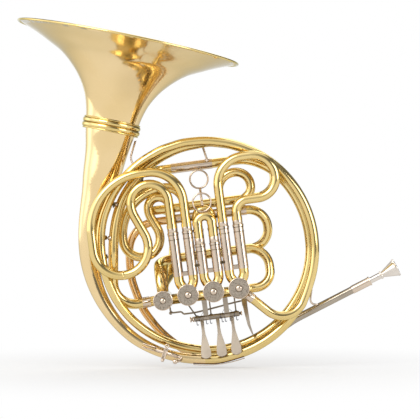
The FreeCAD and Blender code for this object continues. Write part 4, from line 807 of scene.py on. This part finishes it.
# Soft boxes that the metal mirrors, by the way to each
roomLights = [
    dict(way=(-0.58, -0.75, 0.35), edge=0.6, core=0.97, level=0.85),
    dict(way=(-1, -0.15, 0.1), edge=0.45, core=0.95, level=1.1),
    dict(way=(-0.75, 0.65, 0.0), edge=0.75, core=0.95, level=0.9),
    dict(way=(0.0, -0.2, 1.0), edge=0.7, core=0.92, level=0.8),
    dict(way=(0, 1, 0), edge=0.8, core=0.97, level=0.85),
    dict(way=(0.95, -0.3, 0.1), edge=0.85, core=0.96, level=0.75),
]


def makeFloor():
    bpy.ops.mesh.primitive_plane_add(
        size=studio["floorSize"], location=(0, 0, studio["floorHeight"]),
    )
    floor = bpy.context.active_object
    floor.name = "studioFloor"
    material = bpy.data.materials.new("paleFloor")
    material.use_nodes = True
    shader = material.node_tree.nodes["Principled BSDF"]
    shader.inputs["Base Color"].default_value = (*studio["floorColor"], 1)
    shader.inputs["Roughness"].default_value = studio["floorRoughness"]
    tree = material.node_tree
    place = addNode(tree, "ShaderNodeTexCoord")
    away = addNode(tree, "ShaderNodeVectorMath", operation="LENGTH")
    tree.links.new(place.outputs["Object"], away.inputs[0])
    fade = addNode(tree, "ShaderNodeMapRange", interpolation_type="SMOOTHSTEP")
    fade.inputs["From Min"].default_value = floorFade["start"]
    fade.inputs["From Max"].default_value = floorFade["end"]
    fade.inputs["To Min"].default_value = floorFade["least"]
    tree.links.new(away.outputs["Value"], fade.inputs["Value"])
    path = addNode(tree, "ShaderNodeLightPath")
    seen = addNode(tree, "ShaderNodeMath", operation="MAXIMUM")
    tree.links.new(path.outputs["Is Camera Ray"], seen.inputs[0])
    tree.links.new(path.outputs["Is Glossy Ray"], seen.inputs[1])
    share = addNode(tree, "ShaderNodeMath", operation="MULTIPLY")
    tree.links.new(seen.outputs["Value"], share.inputs[0])
    tree.links.new(fade.outputs["Result"], share.inputs[1])
    white = addNode(tree, "ShaderNodeEmission")
    mixed = addNode(tree, "ShaderNodeMixShader")
    tree.links.new(share.outputs["Value"], mixed.inputs["Fac"])
    tree.links.new(shader.outputs["BSDF"], mixed.inputs[1])
    tree.links.new(white.outputs["Emission"], mixed.inputs[2])
    tree.links.new(mixed.outputs["Shader"], tree.nodes["Material Output"].inputs["Surface"])
    floor.data.materials.append(material)


def makeSurround():
    world = bpy.data.worlds.new("whiteSurround")
    bpy.context.scene.world = world
    world.use_nodes = True
    tree = world.node_tree
    background = tree.nodes["Background"]
    # Metal sees the white backdrop, the soft boxes and a dim room between them
    place = addNode(tree, "ShaderNodeTexCoord")
    total = None
    for box in roomLights:
        facing = addNode(tree, "ShaderNodeVectorMath", operation="DOT_PRODUCT")
        facing.inputs[1].default_value = Vector(box["way"]).normalized()
        tree.links.new(place.outputs["Generated"], facing.inputs[0])
        glow = addNode(tree, "ShaderNodeMapRange", interpolation_type="SMOOTHSTEP")
        glow.inputs["From Min"].default_value = box["edge"]
        glow.inputs["From Max"].default_value = box["core"]
        glow.inputs["To Max"].default_value = box["level"]
        tree.links.new(facing.outputs["Value"], glow.inputs["Value"])
        if total is None:
            total = glow.outputs["Result"]
        else:
            added = addNode(tree, "ShaderNodeMath", operation="ADD")
            tree.links.new(total, added.inputs[0])
            tree.links.new(glow.outputs["Result"], added.inputs[1])
            total = added.outputs["Value"]
    room = addNode(tree, "ShaderNodeMath", operation="ADD")
    room.inputs[1].default_value = studio["dimRoom"]
    tree.links.new(total, room.inputs[0])
    path = addNode(tree, "ShaderNodeLightPath")
    mirrored = addNode(tree, "ShaderNodeMix", data_type="FLOAT")
    tree.links.new(path.outputs["Is Glossy Ray"], mirrored.inputs["Factor"])
    mirrored.inputs[2].default_value = studio["fill"]
    tree.links.new(room.outputs["Value"], mirrored.inputs[3])
    level = addNode(tree, "ShaderNodeMix", data_type="FLOAT")
    tree.links.new(path.outputs["Is Camera Ray"], level.inputs["Factor"])
    tree.links.new(mirrored.outputs[0], level.inputs[2])
    level.inputs[3].default_value = studio["surround"]
    tree.links.new(level.outputs[0], background.inputs["Strength"])
    background.inputs["Color"].default_value = (1, 1, 1, 1)


softLamps = [
    dict(name="keyLamp", place=(-1.1, -1.6, 1.5), size=1.2, power=22),
    dict(name="sideLamp", place=(1.5, -1.2, 0.7), size=1.0, power=12),
    dict(name="backLamp", place=(0.3, 1.4, 1.6), size=1.2, power=12),
]


def addLamp(lamp):
    bpy.ops.object.light_add(type="AREA", location=lamp["place"])
    light = bpy.context.active_object
    light.name = lamp["name"]
    light.data.size = lamp["size"]
    light.data.energy = lamp["power"]
    aim = Vector(studio["aim"]) - Vector(lamp["place"])
    light.rotation_euler = aim.to_track_quat("-Z", "Y").to_euler()


makeFloor()
makeSurround()
for lamp in softLamps:
    addLamp(lamp)
print("studio ready")


# Camera straight on, framed as the photograph: 420 by 419 pixels of 1.3656 mm

view = dict(center=(0.0064, 0.0, 0.2053), width=0.5736, distance=3.2, sensor=36.0, farthest=50)


def addCamera():
    place = (view["center"][0], -view["distance"], view["center"][2])
    bpy.ops.object.camera_add(location=place, rotation=(math.radians(90), 0, 0))
    camera = bpy.context.active_object
    camera.data.sensor_width = view["sensor"]
    camera.data.lens = view["sensor"] * view["distance"] / view["width"]
    camera.data.clip_end = view["farthest"]
    bpy.context.scene.camera = camera


addCamera()
bpy.context.scene.view_settings.view_transform = "Standard"
